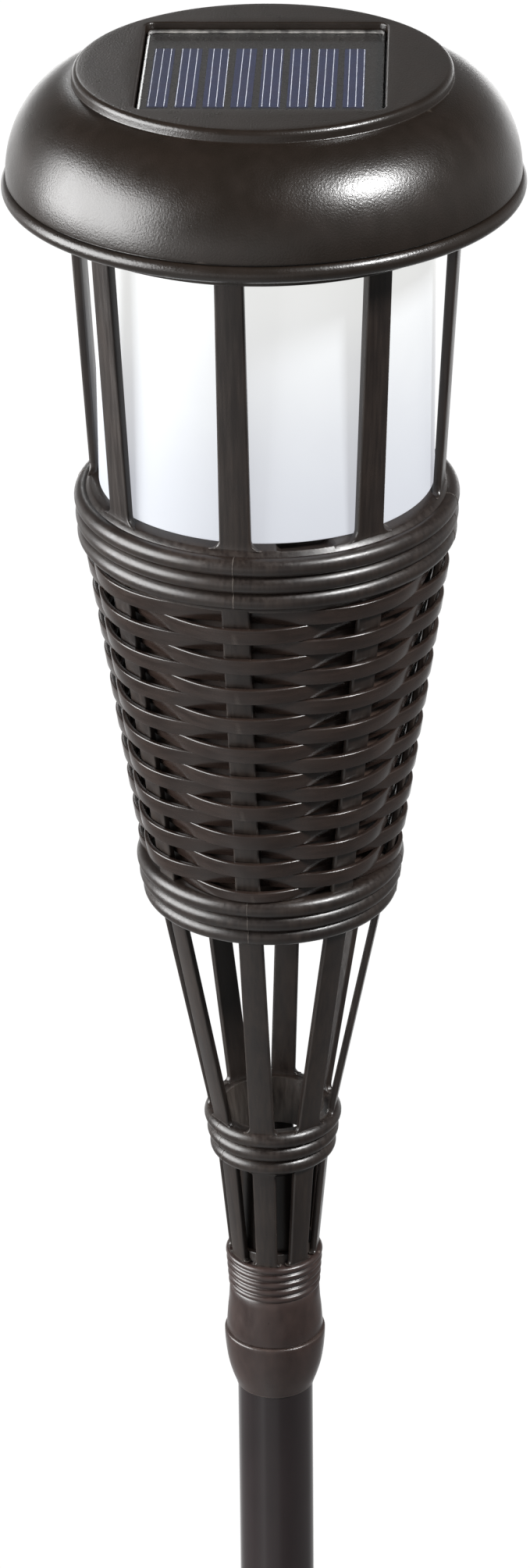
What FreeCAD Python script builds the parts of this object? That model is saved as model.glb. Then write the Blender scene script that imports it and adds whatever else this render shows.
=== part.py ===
import FreeCAD, Part
import math
import os
import Sketcher
from FreeCAD import Vector

DOC = FreeCAD.newDocument("solar_torch")
Z_AXIS = Vector(0, 0, 1)

# ---------------------------------------------------------------------------
# Driving and derived dimensions, in millimetres and degrees.
# Heights named *_z are above the tip of the ground stake. A value given as a
# string is a formula over other names.
# ---------------------------------------------------------------------------
DIMENSIONS = [
    # overall
    ("total_height", 1200, "tip of the stake to the top of the cap"),
    ("cap_rise", 28.5, "rim bead centre up to the cap's flat top"),
    ("rim_z", "total_height - cap_rise", "rim bead centre"),
    ("running_fit", 0.06, "radial clearance of parts that slide on each other"),
    ("loose_gap", 0.4, "clearance round the door and the switch slider"),
    # cap
    ("rim_radius", 62.5, "outer radius of the rim bead"),
    ("rim_bead", 2.2, "radius of the rim bead's section"),
    ("cap_wall", 2.0, "wall of the cap"),
    ("disc_radius", 45.0, "raised flat disc on top"),
    ("disc_step", 2.6, "height of the disc above the shoulder"),
    ("disc_round", 1.4, "rounding of the disc's edge"),
    ("shoulder_start", "dome_radius - 19.7", "radius where the shoulder's ellipse is level"),
    ("dome_radius", "rim_radius - 1.1", "radius where the shoulder's ellipse is upright"),
    ("dome_foot", 2.9, "height of that point over the rim"),
    ("dome_top", "cap_rise - disc_step + 0.1", "height of the level point over the rim"),
    ("window_width", 58, "panel recess across"),
    ("window_depth", 60, "panel recess front to back"),
    ("window_round", 2.5, "corner radius of the recess"),
    ("recess", 3.9, "depth of the panel recess"),
    ("recess_floor_z", "rim_z + cap_rise - recess", "floor of the recess"),
    ("floor_wall", 2.0, "wall under the recess"),
    ("floor_under_z", "recess_floor_z - floor_wall", "underside of that wall"),
    ("skirt_inner", "ring_outer + 1", "inner radius of the locking skirt"),
    ("skirt_wall", 1.8, "wall of the skirt"),
    ("skirt_outer", "skirt_inner + skirt_wall", "outer radius of the skirt"),
    ("skirt_foot_z", "rim_z - 6.3", "lower end of the skirt"),
    ("skirt_middle", "(skirt_inner + skirt_outer) / 2 - shoulder_start", "skirt past the level point"),
    ("dome_share", "skirt_middle / (dome_radius - shoulder_start)", "the same as a share of the ellipse"),
    ("dome_over_skirt", "dome_foot + (dome_top - dome_foot) * sqrt(1 - dome_share * dome_share)",
     "height of the dome over the skirt"),
    ("skirt_top_z", "rim_z + dome_over_skirt - 2.16", "where the skirt runs into the dome"),
    ("ledge_inner", "ring_outer - 1.6", "inner radius of the ledge that rests on the cage"),
    ("ledge_height", 2.5, "height of the ledge"),
    ("lug_height", 2.0, "height of a locking lug"),
    ("lug_angle", 14, "width of a locking lug"),
    ("lug_count", 3, "locking lugs"),
    ("lug_inner", "ring_outer - 1.6", "inner radius of the lugs"),
    # solar panel
    ("panel_gap", 0.5, "gap between the panel and its recess"),
    ("board_width", "window_width - 2 * panel_gap", "panel board across"),
    ("board_depth", "window_depth - 2 * panel_gap", "panel board front to back"),
    ("board_thick", 1.2, "panel board thickness"),
    ("board_top_z", "recess_floor_z + board_thick", "top of the board"),
    ("cell_count", 8, "solar cell strips"),
    ("cell_width", "cell_pitch - 1.5", "one strip"),
    ("cell_length", 40, "one strip"),
    ("cell_thick", 0.3, "one strip"),
    ("cell_pitch", "(board_width - 5) / cell_count", "strip to strip"),
    ("cell_shift_x", -2.1, "offset of the strips on the board"),
    ("cell_shift_y", -1.8, "offset of the strips on the board"),
    ("cell_top_z", "board_top_z + cell_thick", "top of the strips"),
    ("cover_thick", 0.9, "clear cover over the strips"),
    # tray under the cap
    ("tray_radius", 37.5, "outer radius of the tray"),
    ("tray_wall", 1.6, "wall of the tray"),
    ("tray_floor", 1.8, "floor of the tray"),
    ("tray_foot_z", "rim_z - 9", "underside of the tray"),
    ("tray_floor_z", "tray_foot_z + tray_floor", "inside of the tray's floor"),
    ("tray_top_z", "rim_z + 14", "top edge of the tray"),
    ("tray_height", "tray_top_z - tray_foot_z", "height of the tray"),
    ("post_radius", 4.0, "screw post"),
    ("screw_radius", 1.25, "screw thread"),
    ("screw_hole", "screw_radius + 0.35", "clearance hole in a post"),
    ("screw_head", 2.6, "radius of a screw head"),
    ("head_hole", "screw_head + 0.4", "counterbore for a head"),
    ("head_seat_z", "rim_z + 5", "where the heads sit"),
    ("head_height", 1.8, "height of a head"),
    ("screw_length", 15, "thread under the head"),
    ("post_side_x", 26, "two posts, from the middle"),
    ("post_side_y", 21, "two posts, from the middle"),
    ("post_front_y", -31.5, "third post"),
    # battery and its door
    ("cell_radius", 7.25, "rechargeable cell"),
    ("cell_body", 49.5, "rechargeable cell without its nub"),
    ("nub_radius", 2.75, "positive nub"),
    ("nub_length", 1.0, "positive nub"),
    ("battery_y", -12, "axis of the cell"),
    ("battery_x", -23.6, "negative end of the cell"),
    ("battery_z", "tray_floor_z + cell_radius + 0.4", "axis of the cell"),
    ("spring_length", 3.9, "battery spring"),
    ("spring_radius", 3.4, "battery spring"),
    ("spring_wire", 0.35, "radius of the spring's wire"),
    ("contact_thick", 0.4, "contact plates"),
    ("contact_size", 11, "contact plates"),
    ("end_wall", 1.6, "walls that hold the contact plates"),
    ("door_length", 53.2, "battery door"),
    ("door_thick", 1.6, "battery door"),
    ("door_depth", 15.3, "hinge axis to the free edge"),
    ("door_x", -25.6, "left end of the door"),
    ("hinge_y", -19.5, "axis of the door's hinge"),
    ("hinge_z", "tray_foot_z + door_thick / 2", "axis of the door's hinge"),
    ("pin_radius", 0.5, "hinge pins"),
    ("pin_length", 1.2, "hinge pins beyond the door"),
    # switch and circuit board
    ("switch_y", 24, "middle of the switch"),
    ("slider_width", 2.6, "switch slider"),
    ("slider_depth", 2.4, "switch slider"),
    ("slider_travel", 2.5, "switch travel"),
    ("slider_x", "-(slider_width + slider_travel) / 2", "left face of the slider"),
    ("slider_foot_z", "tray_foot_z - 1.2", "lower end of the slider"),
    ("slider_top_z", "tray_foot_z + 5", "upper end of the slider"),
    ("switch_width", 11, "switch body"),
    ("switch_depth", 5, "switch body"),
    ("pcb_z", "rim_z - 1", "underside of the circuit board"),
    ("pcb_thick", 1.6, "circuit board"),
    ("pcb_width", 38, "circuit board"),
    ("pcb_front_y", 5, "front edge of the circuit board"),
    ("pcb_depth", 23, "circuit board"),
    ("led_radius", 2.5, "lamp"),
    ("led_flange", 2.9, "flange of a lamp"),
    ("led_x", 9, "lamps, from the middle"),
    ("led_y", 13, "lamps, from the middle"),
    ("led_tip_z", "rim_z - 10.5", "centre of a lamp's round tip"),
    ("lead_radius", 0.7, "panel leads"),
    ("lead_x", 1.2, "panel leads, from the middle"),
    ("lead_y", 8, "panel leads, from the middle"),
    ("lead_hole", 3.0, "hole for the panel leads"),
    # lens
    ("lens_radius", 41.0, "outer radius of the frosted lens"),
    ("lens_wall", 1.8, "wall of the lens"),
    ("lens_foot_z", "rim_z - 76.6", "lower end of the lens"),
    ("lens_top_z", "rim_z - 2.5", "upper end of the lens"),
    ("lens_inner", "lens_radius - lens_wall", "inner radius of the lens"),
    ("lens_floor_z", "lens_foot_z + lens_wall", "inside of the lens floor"),
    # cage
    ("slat_count", 8, "slats round the cage"),
    ("cage_turn", -8.3, "turn of the cage against the cap's window"),
    ("ring_outer", "ring_inner + 6.4", "top ring of the cage"),
    ("ring_inner", "lens_radius + 2.6", "top ring of the cage"),
    ("ring_top_z", "rim_z - 1.5", "upper face of the top ring"),
    ("ring_foot_z", "rim_z - 4", "lower face of the top ring"),
    ("lug_gap", 0.3, "play between the lugs and the ring"),
    ("lug_top_z", "ring_foot_z - lug_gap", "upper face of the lugs"),
    ("unlock_turn", 25, "twist that frees the cap"),
    ("gate_angle", 20, "gates in the ring that let the lugs out"),
    ("slat_thick_top", 2.6, "slat at the top ring"),
    ("slat_thick", 2.0, "slat at the lens foot"),
    ("stake_thick", 1.8, "slat behind the weave and below"),
    # bands of three rope-like rings
    ("rope_radius", 2.35, "section of a ring"),
    ("band_top_z", "rim_z - 77.6", "shelf that carries the lens"),
    ("band_inner", "lens_radius - 5", "opening in the shelf"),
    ("weave_rows", 20, "rows of the weave"),
    ("weave_pitch", 4.3, "one row"),
    ("weave_top_z", "rim_z - 93.3", "top of the weave"),
    ("weave_foot_z", "rope_d_z + rope_radius", "foot of the weave, on the lower band"),
    ("weave_top_radius", "slat_c_radius + 1.6", "outermost radius at the top of the weave"),
    ("weave_foot_radius", "slat_d_radius + 1.85", "outermost radius at the foot of the weave"),
    ("strip_thick", 1.2, "strip of the weave"),
    ("strip_swing", 1.95, "how far a strip swings in and out of its mean radius"),
    ("lining_gap", 0.3, "between the strips and the sleeve behind them"),
    ("lining_wall", 0.7, "sleeve behind the weave"),
    ("lining_top_radius", "weave_top_radius - 2 * strip_swing - strip_thick - lining_gap", "outside of the sleeve at its top"),
    ("lining_foot_radius", "weave_foot_radius - 2 * strip_swing - strip_thick - lining_gap", "outside of the sleeve at its foot"),
    ("lower_inner_top", "slat_d_radius - 4.25", "inner radius of the lower band at its top"),
    ("lower_inner_foot", "slat_d_radius - 6.15", "inner radius of the lower band at its foot"),
    # neck
    ("neck_rope", 2.2, "section of a neck ring"),
    ("neck_end_z", "slat_g_z", "lower ends of the slats"),
    ("hub_radius", "pole_radius + 0.2", "hub that the slats run into"),
    ("core_radius", "pole_radius - 1.1", "hollow core between the neck slats"),
    ("core_bore", "core_radius - 1.5", "bore of the core"),
    ("core_top_z", "rim_z - 272", "top of the core"),
    # pole
    ("pole_radius", 10.0, "tube, outside"),
    ("pole_wall", 0.8, "tube, wall"),
    ("pole_bore", "pole_radius - pole_wall", "tube, inside"),
    ("spigot_radius", "pole_bore - running_fit", "plugs inside the tube"),
    ("spigot_bore", "spigot_radius - 1.6", "bore of the plugs"),
    ("spigot_length", 40, "plugs inside the tube"),
    ("pole_top_z", "rim_z - 300", "top end of the tube"),
    ("stake_length", 150, "blade of the stake"),
    ("collar_step", 4, "visible shoulder of the stake and of the joiner"),
    ("shoulder_radius", "pole_radius - 0.2", "radius of those shoulders"),
    ("tube_length", "(pole_top_z - stake_length - 2 * collar_step) / 2", "each of two tubes"),
    ("lower_foot_z", "stake_length + collar_step", "lower end of the lower tube"),
    ("lower_top_z", "lower_foot_z + tube_length", "upper end of the lower tube"),
    ("upper_foot_z", "lower_top_z + collar_step", "lower end of the upper tube"),
    ("stake_rib", 2.4, "thickness of the stake's blades"),
    ("stake_radius", "pole_radius - 0.4", "reach of the stake's blades"),
    ("stake_point", 60, "length of the stake's point"),
    # collar
    ("collar_bore", "pole_radius + running_fit", "bore of the collar and cup"),
    ("collar_top_z", "rim_z - 298.4", "top of the collar"),
    ("seam_z", "rim_z - 323.2", "collar meets cup"),
    ("cup_foot_z", "rim_z - 340", "lower end of the cup"),
    ("collar_lip", "pole_radius + 2.8", "radius at the collar's top"),
    ("collar_waist", "pole_radius + 1.8", "radius under the ribs"),
    ("collar_foot", "pole_radius + 2.75", "radius at the seam"),
    ("rib_count", 5, "ribs round the collar"),
    ("rib_pitch", 2.3, "rib to rib"),
    ("rib_round", 0.9, "section of a rib"),
    ("cup_radius", "pole_radius + 3.3", "cup at the seam"),
]

# Outer radius and width of a slat at heights below the rim bead.
SLAT_STATIONS = [
    ("slat_a", 4.0, "lens_radius + 6.7", 7.0),
    ("slat_b", 77.6, "lens_radius + 2.4", 7.8),
    ("slat_c", 93.0, "lens_radius + 3.1", 7.0),
    ("slat_d", 179.0, 31.55, 6.4),
    ("slat_e", 252.0, "pole_radius + 6.9", 6.6),
    ("slat_f", 268.0, "pole_radius + 4.3", 6.2),
    ("slat_g", 298.4, "pole_radius + 1.5", 5.6),
]
# Rings of each band: distance below the rim bead and outer radius.
UPPER_ROPES = [("rope_a", 80.9, "lens_radius + 6.2"), ("rope_b", 85.4, "lens_radius + 5.95"),
               ("rope_c", 89.9, "lens_radius + 5.6")]
LOWER_ROPES = [("rope_d", 180.4, "slat_d_radius + 2.25"), ("rope_e", 184.6, "slat_d_radius + 1.65"),
               ("rope_f", 188.9, "slat_d_radius + 0.75")]
NECK_ROPES = [("rope_g", 256.9, "slat_e_radius + 0.9"), ("rope_h", 261.3, "slat_e_radius + 0.2"),
              ("rope_i", 265.7, "slat_e_radius - 0.5")]


def build_sheet():
    """Write every dimension to the spreadsheet and give it its name."""
    sheet = DOC.addObject("Spreadsheet::Sheet", "dims")
    rows = []
    for name, drop, radius, width in SLAT_STATIONS:
        rows.append((name + "_drop", drop, "slat station below the rim"))
        rows.append((name + "_radius", radius, "slat outer radius there"))
        rows.append((name + "_width", width, "slat width there"))
        rows.append((name + "_z", "rim_z - %s_drop" % name, "height of the station"))
    for name, drop, radius in UPPER_ROPES + LOWER_ROPES + NECK_ROPES:
        rows.append((name + "_drop", drop, "ring below the rim"))
        rows.append((name + "_outer", radius, "outer radius of the ring"))
        rows.append((name + "_z", "rim_z - %s_drop" % name, "height of the ring"))
    rows = DIMENSIONS + rows
    for i, (name, _, _) in enumerate(rows, start=1):
        sheet.setAlias("B%d" % i, name)
    for i, (name, value, note) in enumerate(rows, start=1):
        sheet.set("A%d" % i, note)
        sheet.set("B%d" % i, "=" + value if isinstance(value, str) else str(value))
    DOC.recompute()
    return sheet


SHEET = build_sheet()


def val(name):
    """Number held by a named cell."""
    return float(SHEET.get(name))


def node(obj, name):
    """Label the object as a finished node and return it."""
    obj.Label = name
    NODES.append(obj)
    return obj


NODES = []


def box(name, expr):
    """Box primitive; expr holds Length, Width, Height and x, y, z formulas."""
    obj = DOC.addObject("Part::Box", name)
    for prop in ("Length", "Width", "Height"):
        obj.setExpression(prop, expr[prop])
    for axis in "xyz":
        obj.setExpression("Placement.Base." + axis, expr[axis])
    return obj


def cylinder(name, radius, height, x="0", y="0", z="0"):
    """Upright cylinder primitive bound to formulas."""
    obj = DOC.addObject("Part::Cylinder", name)
    obj.setExpression("Radius", radius)
    obj.setExpression("Height", height)
    for axis, text in zip("xyz", (x, y, z)):
        obj.setExpression("Placement.Base." + axis, text)
    return obj


def fuse(name, parts):
    """Union of several objects."""
    obj = DOC.addObject("Part::MultiFuse", name)
    obj.Shapes = parts
    obj.Refine = True
    return obj


def cut(name, base, tool):
    """Base minus tool."""
    obj = DOC.addObject("Part::Cut", name)
    obj.Base = base
    obj.Tool = tool
    return obj


def solid(name, shape):
    """Feature whose shape comes from code that reads the sheet."""
    obj = DOC.addObject("Part::Feature", name)
    obj.Shape = shape
    obj.Placement = shape.Placement
    return obj


def profile_body(name, points):
    """PartDesign body: closed polyline of (radius, height) names, turned about Z.

    A radius of "0" puts the point on the axis.
    """
    body = DOC.addObject("PartDesign::Body", name)
    plane = [f for f in body.Origin.OriginFeatures if f.Role == "XZ_Plane"][0]
    sketch = body.newObject("Sketcher::SketchObject", name + "_profile")
    sketch.AttachmentSupport = [(plane, "")]
    sketch.MapMode = "FlatFace"
    spots = [Vector(0 if r == "0" else number(r), number(z), 0) for r, z in points]
    count = len(spots)
    for i in range(count):
        sketch.addGeometry(Part.LineSegment(spots[i], spots[(i + 1) % count]), False)
    for i in range(count):
        sketch.addConstraint(Sketcher.Constraint("Coincident", i, 2, (i + 1) % count, 1))
    for i, (r, z) in enumerate(points):
        if r == "0":
            sketch.addConstraint(Sketcher.Constraint("PointOnObject", i, 1, -2))
        else:
            k = sketch.addConstraint(Sketcher.Constraint("DistanceX", -1, 1, i, 1, spots[i].x))
            sketch.setExpression("Constraints[%d]" % k, bind(r))
        k = sketch.addConstraint(Sketcher.Constraint("DistanceY", -1, 1, i, 1, spots[i].y))
        sketch.setExpression("Constraints[%d]" % k, bind(z))
    turn = body.newObject("PartDesign::Revolution", name + "_turn")
    turn.Profile = sketch
    turn.ReferenceAxis = (sketch, ["V_Axis"])
    turn.Angle = 360
    body.Tip = turn
    sketch.Visibility = False
    return body


def terms(text):
    """Split "a + b - 3" into signed terms."""
    return text.replace("- ", "-").replace("+ ", "").split()


def number(text):
    """Value of a sum of names and plain numbers."""
    total = 0.0
    for term in terms(text):
        sign = -1.0 if term.startswith("-") else 1.0
        word = term.lstrip("-")
        total += sign * (val(word) if word[0].isalpha() else float(word))
    return total


def bind(text):
    """The same sum as an expression on the sheet."""
    out = []
    for term in terms(text):
        sign = "-" if term.startswith("-") else "+"
        word = term.lstrip("-")
        out.append(sign + ("dims." + word if word[0].isalpha() else word))
    return "".join(out).lstrip("+")


def revolve_face(edges):
    """Solid of revolution about Z from a closed list of edges in the XZ plane."""
    face = Part.Face(Part.Wire(Part.__sortEdges__(edges)))
    return face.revolve(Vector(0, 0, 0), Z_AXIS, 360)


def line(a, b):
    """Edge between two (radius, height) pairs in the XZ plane."""
    return Part.makeLine(Vector(a[0], 0, a[1]), Vector(b[0], 0, b[1]))


def curve(points):
    """Smooth edge through (radius, height) pairs in the XZ plane."""
    spline = Part.BSplineCurve()
    spline.interpolate([Vector(r, 0, z) for r, z in points])
    return spline.toShape()


def sector(inner, outer, foot, top, angle, middle):
    """Ring segment about Z, centred on the direction `middle`."""
    start = math.radians(middle - angle / 2.0)
    direction = Vector(math.cos(start), math.sin(start), 0)
    full = Part.makeCylinder(outer, top - foot, Vector(0, 0, foot), Z_AXIS, angle)
    hole = Part.makeCylinder(inner, top - foot, Vector(0, 0, foot), Z_AXIS, 360)
    full.rotate(Vector(0, 0, 0), Z_AXIS, math.degrees(math.atan2(direction.y, direction.x)))
    return full.cut(hole)


# ---------------------------------------------------------------------------
# Cap and solar panel
# ---------------------------------------------------------------------------
def dome_section(inset):
    """(radius, height) points of the shoulder's quarter ellipse, set in by a wall."""
    start, side = val("shoulder_start"), val("dome_radius")
    foot, top = val("dome_foot"), val("dome_top")
    spots = []
    for step in range(9, 37):
        t = math.radians(step * 2.5)
        r = start + (side - start) * math.sin(t)
        z = foot + (top - foot) * math.cos(t)
        normal = Vector(math.sin(t) / (side - start), 0, math.cos(t) / (top - foot)).normalize()
        spots.append((r - inset * normal.x, val("rim_z") + z - inset * normal.z))
    return spots


def cap_dome():
    """Bell of the cap: raised disc, shoulder and rim bead, open below."""
    rim, rise, wall = val("rim_z"), val("cap_rise"), val("cap_wall")
    disc, step, edge = val("disc_radius"), val("disc_step"), val("disc_round")
    outer = [p for p in dome_section(0) if p[0] > disc]
    inner = [p for p in dome_section(wall) if p[0] < val("rim_radius")]
    top = rim + rise
    bead = val("rim_bead")
    bead_r = val("rim_radius") - bead
    foot = rim - bead
    arc = Part.Arc(Vector(disc - edge, 0, top), Vector(disc - edge * 0.293, 0, top - edge * 0.293),
                   Vector(disc, 0, top - edge)).toShape()
    groove = (outer[-1][0] - 0.3, rim + bead - 0.2)
    side = Part.Arc(Vector(groove[0], 0, groove[1]), Vector(bead_r + bead, 0, rim),
                    Vector(bead_r + 0.2, 0, foot)).toShape()
    under = (inner[-1][0], foot)
    edges = [
        line((0, top), (disc - edge, top)),
        arc,
        line((disc, top - edge), outer[0]),
        curve(outer),
        line(outer[-1], groove),
        side,
        line((bead_r + 0.2, foot), under),
        line(under, inner[-1]),
        curve(list(reversed(inner))),
        line(inner[0], (0, inner[0][1])),
        line((0, inner[0][1]), (0, top)),
    ]
    return revolve_face(edges)


def rounded_box(width, depth, foot, top, radius):
    """Upright box about the Z axis with rounded corners."""
    shape = Part.makeBox(width, depth, top - foot, Vector(-width / 2, -depth / 2, foot))
    upright = [e for e in shape.Edges if abs(e.tangentAt(e.FirstParameter).z) > 0.99]
    return shape.makeFillet(radius, upright)


def post_spots():
    """Plan positions of the three screw posts."""
    x, y = val("post_side_x"), val("post_side_y")
    return [(x, y), (-x, y), (0.0, val("post_front_y"))]


def lug_directions(turn):
    """Directions of the locking lugs, turned by an angle."""
    count = int(val("lug_count"))
    return [turn + 60 + i * 360.0 / count for i in range(count)]


def build_cap():
    """Cap shell with panel recess, locking skirt, lugs and screw bosses."""
    rim = val("rim_z")
    floor = val("recess_floor_z")
    rounding = val("window_round")
    width, depth = val("window_width"), val("window_depth")
    shell = cap_dome()
    pan = rounded_box(width + 4, depth + 4, val("floor_under_z"), floor + 1.0, rounding + 1)
    recess = rounded_box(width, depth, floor, rim + val("cap_rise") + 1, rounding)
    skirt = Part.makeCylinder(val("skirt_outer"), val("skirt_top_z") - val("skirt_foot_z"),
                              Vector(0, 0, val("skirt_foot_z")))
    skirt = skirt.cut(Part.makeCylinder(val("skirt_inner"), 60, Vector(0, 0, rim - 20)))
    ledge = Part.makeCylinder(val("skirt_inner") + 0.4, val("ledge_height"),
                              Vector(0, 0, val("ring_top_z")))
    ledge = ledge.cut(Part.makeCylinder(val("ledge_inner"), 40, Vector(0, 0, rim - 20)))
    lugs = [sector(val("lug_inner"), val("skirt_inner") + 0.4,
                   val("lug_top_z") - val("lug_height"), val("lug_top_z"),
                   val("lug_angle"), where) for where in lug_directions(0)]
    boss_top = val("floor_under_z") + 0.5
    bosses = [Part.makeCylinder(val("post_radius") - 0.8, boss_top - val("tray_top_z"),
                                Vector(x, y, val("tray_top_z"))) for x, y in post_spots()]
    shape = shell.fuse([pan, skirt, ledge] + lugs + bosses).cut(recess)
    for x, y in post_spots():
        shape = shape.cut(Part.makeCylinder(val("screw_radius"), 8, Vector(x, y, val("tray_top_z"))))
    hole = Part.makeCylinder(val("lead_hole"), 10, Vector(0, val("lead_y"), floor - 5))
    return node(solid("cap_shell_shape", shape.cut(hole)), "cap_shell")


def build_panel():
    """Panel board, cell strips and clear cover, stacked in the recess."""
    width, depth = val("board_width"), val("board_depth")
    rounding = val("window_round") - val("panel_gap")
    board = rounded_box(width, depth, val("recess_floor_z"), val("board_top_z"), rounding)
    node(solid("board_shape", board), "solar_board")
    strips = []
    for i in range(int(val("cell_count"))):
        middle = "(%d - (dims.cell_count - 1) / 2) * dims.cell_pitch" % i
        strips.append(box("strip_%d" % i, {
            "Length": "dims.cell_width", "Width": "dims.cell_length",
            "Height": "dims.cell_thick",
            "x": "dims.cell_shift_x - dims.cell_width / 2 + " + middle,
            "y": "dims.cell_shift_y - dims.cell_length / 2", "z": "dims.board_top_z"}))
    cells = DOC.addObject("Part::Compound", "cells")
    cells.Links = strips
    node(cells, "solar_cells")
    cover_foot = val("cell_top_z")
    cover = rounded_box(width, depth, cover_foot, cover_foot + val("cover_thick"), rounding)
    node(solid("cover_shape", cover), "panel_cover")


# ---------------------------------------------------------------------------
# Tray, battery, switch and lamps
# ---------------------------------------------------------------------------
def wall_block(x, y_mid, width, depth, top):
    """Wall standing on the tray's floor."""
    floor = val("tray_floor_z") - 0.5
    return Part.makeBox(width, depth, top - floor, Vector(x, y_mid - depth / 2, floor))


def battery_ends():
    """Outer faces of the negative and positive contact plates."""
    left = val("battery_x") - val("spring_length") - val("contact_thick")
    right = val("battery_x") + val("cell_body") + val("nub_length") + val("contact_thick")
    return left, right


def build_tray():
    """Round tray with battery bay, screw posts and openings in its floor."""
    foot, floor, top = val("tray_foot_z"), val("tray_floor_z"), val("tray_top_z")
    radius, gap = val("tray_radius"), val("loose_gap")
    shape = Part.makeCylinder(radius, top - foot, Vector(0, 0, foot))
    shape = shape.cut(Part.makeCylinder(radius - val("tray_wall"), top, Vector(0, 0, floor)))
    posts = [Part.makeCylinder(val("post_radius"), top - foot, Vector(x, y, foot))
             for x, y in post_spots()]
    left, right = battery_ends()
    size, wall = val("contact_size"), val("end_wall")
    bay_top = val("battery_z") + 6
    walls = [wall_block(left - wall, val("battery_y"), wall, size, bay_top),
             wall_block(right, val("battery_y"), wall, size, bay_top)]
    outside = Part.makeCylinder(radius, top - foot, Vector(0, 0, foot))
    shape = shape.fuse(posts + walls).common(outside)
    for x, y in post_spots():
        seat = val("head_seat_z")
        shape = shape.cut(Part.makeCylinder(val("head_hole"), seat - foot, Vector(x, y, foot)))
        shape = shape.cut(Part.makeCylinder(val("screw_hole"), 40, Vector(x, y, foot)))
    door_edge = val("hinge_y") - val("door_thick") / 2 - gap
    bay = Part.makeBox(val("door_length") + 2 * gap,
                       val("hinge_y") + val("door_depth") + gap - door_edge, 4,
                       Vector(val("door_x") - gap, door_edge, foot - 1))
    shape = shape.cut(bay)
    hinge = Part.makeCylinder(val("pin_radius") + val("running_fit"),
                              val("door_length") + 2 * val("pin_length") + 2,
                              Vector(val("door_x") - val("pin_length") - 1, val("hinge_y"),
                                     val("hinge_z")), Vector(1, 0, 0))
    shape = shape.cut(hinge)
    slot_width = val("slider_width") + val("slider_travel") + 2 * gap
    slot_depth = val("slider_depth") + 2 * gap
    shape = shape.cut(Part.makeBox(slot_width, slot_depth, 4,
                                   Vector(-slot_width / 2, val("switch_y") - slot_depth / 2,
                                          foot - 1)))
    for side in (-1, 1):
        shape = shape.cut(Part.makeCylinder(val("led_radius") + 0.3, 4,
                                            Vector(side * val("led_x"), val("led_y"), foot - 1)))
    return node(solid("tray_shape", shape), "lamp_tray")


def build_screws():
    """Three self-tapping screws, seen from below."""
    screws = []
    for x, y in post_spots():
        seat = val("head_seat_z")
        head = Part.makeCylinder(val("screw_head"), val("head_height"),
                                 Vector(x, y, seat - val("head_height")))
        shank = Part.makeCylinder(val("screw_radius"), val("screw_length"), Vector(x, y, seat))
        slots = [Part.makeBox(3.2, 0.8, 1.0, Vector(x - 1.6, y - 0.4, seat - val("head_height"))),
                 Part.makeBox(0.8, 3.2, 1.0, Vector(x - 0.4, y - 1.6, seat - val("head_height")))]
        screw = head.fuse(shank)
        for slot in slots:
            screw = screw.cut(slot)
        screws.append(screw)
    node(solid("screw_shapes", Part.makeCompound(screws)), "tray_screws")


def build_battery():
    """Rechargeable cell, its contact plates and its spring."""
    start = Vector(val("battery_x"), val("battery_y"), val("battery_z"))
    can = Part.makeCylinder(val("cell_radius"), val("cell_body"), start, Vector(1, 0, 0))
    nub = Part.makeCylinder(val("nub_radius"), val("nub_length"),
                            start + Vector(val("cell_body"), 0, 0), Vector(1, 0, 0))
    node(solid("battery_shape", can.fuse(nub)), "battery_cell")
    left, right = battery_ends()
    size, thick = val("contact_size"), val("contact_thick")
    low = Vector(0, val("battery_y") - size / 2, val("tray_floor_z") + 0.1)
    plates = [Part.makeBox(thick, size, size, Vector(left, 0, 0) + low),
              Part.makeBox(thick, size, size, Vector(right - thick, 0, 0) + low)]
    node(solid("contact_shapes", Part.makeCompound(plates)), "battery_contacts")
    wire = val("spring_wire")
    length = val("spring_length") - 2 * wire
    helix = Part.makeHelix(length / 3.5, length, val("spring_radius"))
    ring = Part.Wire(Part.makeCircle(wire, Vector(val("spring_radius"), 0, 0), Vector(0, 1, 0)))
    spring = Part.Wire(helix.Edges).makePipeShell([ring], True, True)
    spring.rotate(Vector(0, 0, 0), Vector(0, 1, 0), -90)
    spring.translate(Vector(val("battery_x") - wire, val("battery_y"), val("battery_z")))
    node(solid("spring_shape", spring), "battery_spring")


def build_door():
    """Battery door with a rounded hinge edge and two pins."""
    half = val("door_thick") / 2
    x, y, z = val("door_x"), val("hinge_y"), val("hinge_z")
    length = val("door_length")
    plate = Part.makeBox(length, val("door_depth"), val("door_thick"), Vector(x, y, z - half))
    knuckle = Part.makeCylinder(half, length, Vector(x, y, z), Vector(1, 0, 0))
    pins = Part.makeCylinder(val("pin_radius"), length + 2 * val("pin_length"),
                             Vector(x - val("pin_length"), y, z), Vector(1, 0, 0))
    grip = Part.makeBox(12, 3, 0.6, Vector(x + length / 2 - 6, y + val("door_depth") - 3, z - half))
    shape = plate.fuse([knuckle, pins]).cut(grip)
    node(solid("door_shape", shape), "battery_door")


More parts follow.
